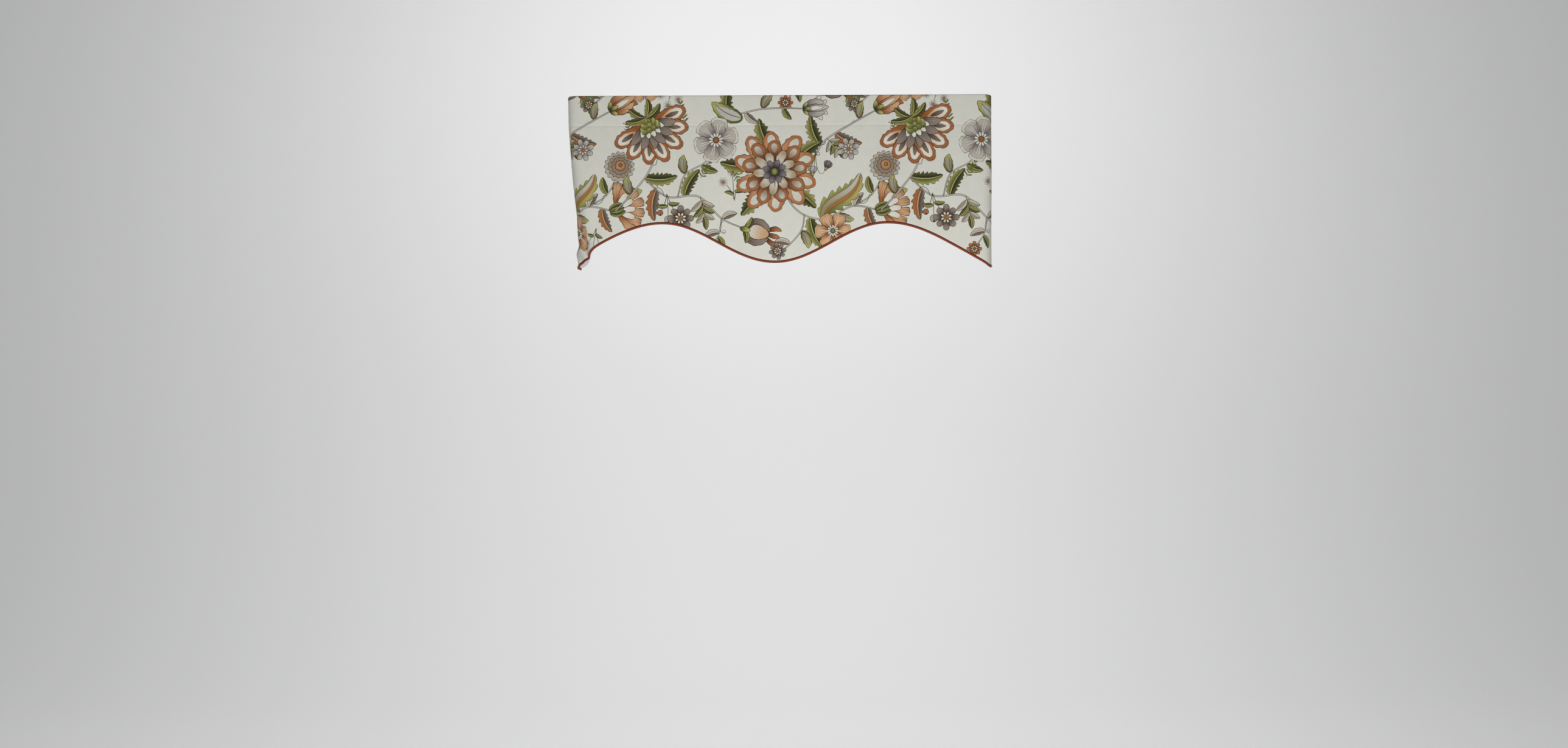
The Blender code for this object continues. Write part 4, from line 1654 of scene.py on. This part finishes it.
def welt_material(sizes, colours):
    """The welt's cover: plain cloth cut on the bias, so that its threads cross the cord slantwise."""
    material = cloth_material("welt_bias_cloth", sheen=0.06, level=0.25)
    run, turn, _ = attribute(material, "wrap").split()
    weave, slub = plain_weave(run + turn, run - turn, sizes.thread_pitch * 1.1)
    cloudy = (run * 60).vector(turn * 200).noise(1.0, 2.0)
    rust = colours.welt
    # dark is the cover's own darker tone; deep is the colour of the painted shade laid further down
    dark, deep = darker(rust, 0.66), darker(rust, 0.22)
    # light is a painted highlight, laid on the threads' crowns where the weave stands highest
    light = tuple(min(c * 1.2 + 0.008, 1) for c in rust)
    body = (cloudy * 0.5 + slub * 0.5).step(0.3, 0.7).blend(dark, rust)
    body = (weave * 0.4).blend(body, light)
    # painted shade, towards the deep colour: beside the lip where it goes between the layers, in the groove
    # that the stitching pulls, and on the cord's lower side where the cover turns under
    round_cord = turn.size() / sizes.welt_radius
    painted_lip_shade = round_cord.step(0.1, 0.5, 0.8, 0)
    groove = (round_cord - 0.9).size().step(0.05, 0.3, 0.62, 0)
    under = round_cord.step(1.9, 2.7, 0, 0.5)
    colour = painted_lip_shade.most(groove).most(under).blend(body, deep)
    return finish_cloth(material, colour, weave * 0.8 + slub * 0.5, cloudy * 0.15 + 0.72, depth=0.00016)


def thread_material(colours):
    """Spun sewing thread."""
    material = cloth_material("sewing_thread", sheen=0.2, level=0.4)
    x, _, z = object_place(material).split()
    twist = ((x + z) * 9000).sine() * 0.5 + 0.5
    pale = colours.thread
    # the twist's hollows are painted darker: painted shade between the turns of the thread
    colour = twist.blend(darker(pale, 0.8), pale)
    return finish_cloth(material, colour, twist, twist * 0.1 + 0.6, depth=0.00004)


# ---------------------------------------------------------------- the stitches

STITCHES_SHORT = 0.004
STITCH_PLACES = 900
THREAD_PROUD = 0.4


def stitch_nodes(material):
    """A node tree that lays one stitch at even steps along a line."""
    tree = bpy.data.node_groups.new("running_stitches", "GeometryNodeTree")
    sockets = (
        ("Geometry", "INPUT", "Geometry", None),
        ("Pitch", "INPUT", "Float", 0.004),
        ("Stitch length", "INPUT", "Float", 0.003),
        ("Thread radius", "INPUT", "Float", 0.0002),
        ("Unevenness", "INPUT", "Float", 0.1),
        ("Seed", "INPUT", "Int", 3),
        ("Geometry", "OUTPUT", "Geometry", None),
    )
    for name, way, kind, value in sockets:
        made = tree.interface.new_socket(name, in_out=way, socket_type="NodeSocket" + kind)
        if value is not None:
            made.default_value = value
    given = tree.nodes.new("NodeGroupInput").outputs
    line, pitch, length, radius, uneven, seed = (Wire(tree, given[k]) for k in range(6))
    points = line.node("GeometryNodeCurveToPoints", {"Curve": line, "Length": pitch}, {"mode": "LENGTH"})
    body = line.node("GeometryNodeMeshUVSphere", {"Segments": 8, "Rings": 5, "Radius": 1.0})
    shape = radius.vector(radius, length * 0.5)
    stitch = body.node("GeometryNodeTransform", {"Geometry": body, "Scale": shape})
    least = uneven.node("ShaderNodeMath", {0: 1.0, 1: uneven}, {"operation": "SUBTRACT"})
    chance = {2: least, 3: 1.0, "Seed": seed}
    size = least.node("FunctionNodeRandomValue", chance, {"data_type": "FLOAT"}, 1)
    laid = {"Points": points, "Instance": stitch, "Rotation": points.beside("Rotation"), "Scale": size}
    stitches = points.node("GeometryNodeInstanceOnPoints", laid)
    for kind in ("GeometryNodeRealizeInstances", "GeometryNodeSetShadeSmooth"):
        stitches = stitches.node(kind, {"Geometry": stitches})
    done = stitches.node("GeometryNodeSetMaterial", {"Geometry": stitches, "Material": material})
    tree.links.new(done.socket, tree.nodes.new("NodeGroupOutput").inputs[0])
    return tree


def make_stitches(sizes, colours):
    """The row of stitches that closes the pocket, on the front and on the back."""
    line = bpy.data.curves.new("stitch_lines", "CURVE")
    line.dimensions = "3D"
    ends = HALF_WIDTH - STITCHES_SHORT
    proud = -sizes.thread_radius * THREAD_PROUD
    u = np.linspace(-ends, ends, STITCH_PLACES)
    depth, drop = POCKET.lie(np.full(len(u), POCKET.back_stitch), proud)
    for path in (HANG.place(u, POCKET_DROP, proud), HANG.place(u, drop, depth)):
        spline = line.splines.new("POLY")
        spline.points.add(len(path) - 1)
        spline.points.foreach_set("co", np.c_[path, np.ones(len(path))].ravel())
    source = bpy.data.objects.new("stitch_lines", line)
    bpy.context.scene.collection.objects.link(source)
    material = thread_material(colours)
    modifier = source.modifiers.new("Stitches", "NODES")
    modifier.node_group = stitch_nodes(material)
    given = {
        "Pitch": sizes.stitch_pitch,
        "Stitch length": sizes.stitch_length,
        "Thread radius": sizes.thread_radius,
    }
    for item in modifier.node_group.interface.items_tree:
        if item.name in given:
            modifier[item.identifier] = given[item.name]
    evaluated = source.evaluated_get(bpy.context.evaluated_depsgraph_get())
    mesh = bpy.data.meshes.new_from_object(evaluated)
    bpy.data.objects.remove(source)
    mesh.name = "pocket_stitching"
    made = bpy.data.objects.new("pocket_stitching", mesh)
    bpy.context.scene.collection.objects.link(made)
    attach(made, "root")
    return made


# ---------------------------------------------------------------- the stage

# each lamp's place, what it looks at, its size, and its power as a share of the key's
LAMPS = {
    "key": ((0.12, -1.7, -1.75), (0.02, 0, -0.4), (1.6, 0.8), 1),
    "fill": ((-2.6, -3.0, 0.9), (0, 0, -0.25), (2.4, 2.4), 0.12),
    "wall": ((0, 1.4, 2.0), (0, 4.8, -0.9), (4.0, 1.0), 1.72),
    "back": ((0.4, 3.0, 1.8), (0, 0, -0.2), (2.6, 1.6), 0.3),
}
BACKDROP_HALF, BACKDROP_BEND, BACKDROP_AT = 9.0, 1.6, 3.2
BEND_STEPS, BACKDROP_COLUMNS = 17, 9
SKY = (0.98, 0.99, 1.0, 1)
SENSOR_WIDTH, FRAME_SHIFT = 36, 0.0071
NEAREST, FARTHEST = 0.05, 60


def make_backdrop(stage):
    """A pale floor that curves up into a wall a long way behind."""
    profile = [(-BACKDROP_HALF, 0.0), (BACKDROP_AT, 0.0)]
    for a in np.linspace(0, pi / 2, BEND_STEPS)[1:]:
        profile.append((BACKDROP_AT + BACKDROP_BEND * sin(a), BACKDROP_BEND * (1 - cos(a))))
    profile.append((BACKDROP_AT + BACKDROP_BEND, BACKDROP_HALF))
    columns = np.linspace(-BACKDROP_HALF, BACKDROP_HALF, BACKDROP_COLUMNS)
    places = [(x, y, stage.floor_level + z) for x in columns for y, z in profile]
    n = len(profile)
    first = [i * n + j for i in range(len(columns) - 1) for j in range(n - 1)]
    faces = [(a, a + n, a + n + 1, a + 1) for a in first]
    material = cloth_material("pale_backdrop", sheen=0.0)
    cloudy = object_place(material).noise(0.7, 3.0)
    pale = stage.floor_colour
    colour = cloudy.blend(pale, darker(pale, 0.985))
    finish_cloth(material, colour, cloudy, cloudy * 0.1 + 0.8, depth=0.0005)
    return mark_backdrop(new_object("floor", places, faces, [material]))


def soft_light(name, place, target, size, power):
    lamp = bpy.data.lights.new(name, "AREA")
    lamp.shape, lamp.energy = "RECTANGLE", power
    lamp.size, lamp.size_y = size
    made = bpy.data.objects.new(name, lamp)
    made.location = place
    made.rotation_mode = "QUATERNION"
    made.rotation_quaternion = (Vector(target) - Vector(place)).to_track_quat("-Z", "Y")
    bpy.context.scene.collection.objects.link(made)


def make_light(stage):
    world = bpy.data.worlds.new("soft_daylight")
    world.use_nodes = True
    inputs = world.node_tree.nodes["Background"].inputs
    inputs["Color"].default_value = SKY
    inputs["Strength"].default_value = stage.daylight
    bpy.context.scene.world = world
    for name, (place, target, size, share) in LAMPS.items():
        soft_light(name, place, target, size, stage.key_power * share)


def make_camera(stage):
    lens = bpy.data.cameras.new("camera")
    lens.lens, lens.sensor_width, lens.sensor_fit = stage.lens, SENSOR_WIDTH, "HORIZONTAL"
    lens.shift_y = FRAME_SHIFT
    lens.clip_start, lens.clip_end = NEAREST, FARTHEST
    made = bpy.data.objects.new("camera", lens)
    made.location = stage.eye
    made.rotation_euler = (pi / 2, radians(stage.tilt), 0)
    bpy.context.scene.collection.objects.link(made)
    bpy.context.scene.camera = made


# ---------------------------------------------------------------- the add-on


def length(name, description, default, low, high):
    return FloatProperty(
        name=name, description=description, default=default, min=low, max=high, unit="LENGTH"
    )


def colour(name, description, default):
    return FloatVectorProperty(
        name=name, description=description, default=default, subtype="COLOR", size=3, min=0, max=1
    )


def ink(name):
    plain = name.replace("_", " ")
    return colour(plain.capitalize(), f"The print's {plain} ink", INKS[name])


class ValanceInks(PropertyGroup):
    """The print's inks."""

    __annotations__ = {name: ink(name) for name in INKS}


class ValanceColours(PropertyGroup):
    """The plain cloths."""

    lining: colour("Lining", "The lining's colour", (0.72, 0.71, 0.68))
    welt: colour("Welt", "The welt cover's colour", (0.228, 0.0405, 0.0136))
    thread: colour("Thread", "The stitches' colour", (0.74, 0.72, 0.62))


class ValanceSizes(PropertyGroup):
    """The sizes that the sewing and the meshes use."""

    cloth_grid: length("Cloth grid", "Spacing of the printed cloth's own grid", 0.0078, 0.004, 0.02)
    edge_grid: length("Edge grid", "Spacing along the seams and the shaped edge", 0.0036, 0.002, 0.01)
    thread_pitch: length("Thread pitch", "Distance between the cloth's threads", 0.0006, 0.0002, 0.002)
    welt_radius: length("Welt radius", "Half the thickness of the covered cord", 0.003, 0.001, 0.006)
    stitch_pitch: length("Stitch pitch", "Distance from one stitch to the next", 0.0036, 0.001, 0.01)
    stitch_length: length("Stitch length", "Length of one stitch", 0.0028, 0.001, 0.01)
    thread_radius: length("Thread radius", "Half the thread's thickness", 0.00022, 0.0001, 0.001)


class ValanceStage(PropertyGroup):
    """The floor, the lights and the camera."""

    floor_level: length("Floor level", "Height of the floor below the top edge", -2.3, -10, 0)
    floor_colour: colour("Floor", "Colour of the floor and the wall", (0.94, 0.94, 0.935))
    daylight: FloatProperty(
        name="Daylight", description="Strength of the light from all round", default=0.318, min=0
    )
    key_power: FloatProperty(
        name="Key light", description="Power of the large soft light", default=45.5, min=0, subtype="POWER"
    )
    lens: FloatProperty(
        name="Lens", description="Focal length", default=32.0, min=10, max=200, subtype="DISTANCE_CAMERA"
    )
    eye: FloatVectorProperty(
        name="Eye",
        description="Where the camera stands",
        default=(0.008, -3.6, -0.75),
        size=3,
        subtype="TRANSLATION",
    )
    tilt: FloatProperty(
        name="Tilt", description="How far the camera leans to its side, in degrees", default=0.25
    )


class ValanceSettings(PropertyGroup):
    """All that a user of the valance would change."""

    inks: PointerProperty(type=ValanceInks)
    colours: PointerProperty(type=ValanceColours)
    sizes: PointerProperty(type=ValanceSizes)
    stage: PointerProperty(type=ValanceStage)


class VALANCE_OT_face(Operator):
    """Cut, print and hang the face cloth with its rod pocket"""

    bl_idname = "valance.hang_face"
    bl_label = "Hang the face cloth"

    def execute(self, context):
        settings = context.scene.valance
        make_face(settings.sizes, {name: tuple(getattr(settings.inks, name)) for name in INKS})
        return {"FINISHED"}


class VALANCE_OT_lining(Operator):
    """Hang the lining behind the face cloth"""

    bl_idname = "valance.hang_lining"
    bl_label = "Hang the lining"

    def execute(self, context):
        settings = context.scene.valance
        make_lining(settings.sizes, settings.colours)
        return {"FINISHED"}


class VALANCE_OT_welt(Operator):
    """Lay the covered cord along the shaped edge"""

    bl_idname = "valance.sew_welt"
    bl_label = "Sew the welt"

    def execute(self, context):
        settings = context.scene.valance
        make_welt(settings.sizes, settings.colours)
        return {"FINISHED"}


class VALANCE_OT_stitches(Operator):
    """Close the rod pocket with its row of stitches"""

    bl_idname = "valance.stitch_pocket"
    bl_label = "Stitch the pocket"

    def execute(self, context):
        settings = context.scene.valance
        make_stitches(settings.sizes, settings.colours)
        return {"FINISHED"}


class VALANCE_OT_sheets(Operator):
    """Stop unless the face cloth and the lining have been hung"""

    bl_idname = "valance.declare_sheets"
    bl_label = "Measure the cloths"

    def execute(self, context):
        found = bpy.data.objects
        if "printed_face" not in found or "sateen_lining" not in found:
            raise RuntimeError("hang the face cloth and the lining first")
        return {"FINISHED"}


class VALANCE_OT_stage(Operator):
    """Set the floor, the soft light and the camera"""

    bl_idname = "valance.set_stage"
    bl_label = "Set the stage"

    def execute(self, context):
        stage = context.scene.valance.stage
        context.scene.view_settings.view_transform = "Standard"
        make_backdrop(stage)
        make_light(stage)
        make_camera(stage)
        return {"FINISHED"}


STEPS = (
    VALANCE_OT_face,
    VALANCE_OT_lining,
    VALANCE_OT_welt,
    VALANCE_OT_stitches,
    VALANCE_OT_sheets,
    VALANCE_OT_stage,
)


class VALANCE_PT_build(Panel):
    """The valance's steps and settings"""

    bl_label = "Window valance"
    bl_idname = "VALANCE_PT_build"
    bl_space_type = "VIEW_3D"
    bl_region_type = "UI"
    bl_category = "Valance"

    def draw(self, context):
        settings = context.scene.valance
        for step in STEPS:
            self.layout.operator(step.bl_idname)
        for group in (settings.sizes, settings.colours, settings.inks, settings.stage):
            box = self.layout.box()
            for name in group.__annotations__:
                box.prop(group, name)


GROUPS = (ValanceInks, ValanceColours, ValanceSizes, ValanceStage, ValanceSettings)
CLASSES = (*GROUPS, *STEPS, VALANCE_PT_build)


def register():
    for kind in CLASSES:
        bpy.utils.register_class(kind)
    bpy.types.Scene.valance = PointerProperty(type=ValanceSettings)


def unregister():
    del bpy.types.Scene.valance
    for kind in reversed(CLASSES):
        bpy.utils.unregister_class(kind)


def main():
    register()
    bpy.ops.valance.hang_face()
    bpy.ops.valance.hang_lining()
    bpy.ops.valance.sew_welt()
    bpy.ops.valance.stitch_pocket()
    bpy.ops.valance.declare_sheets()
    bpy.ops.valance.set_stage()


if __name__ == "__main__":
    main()
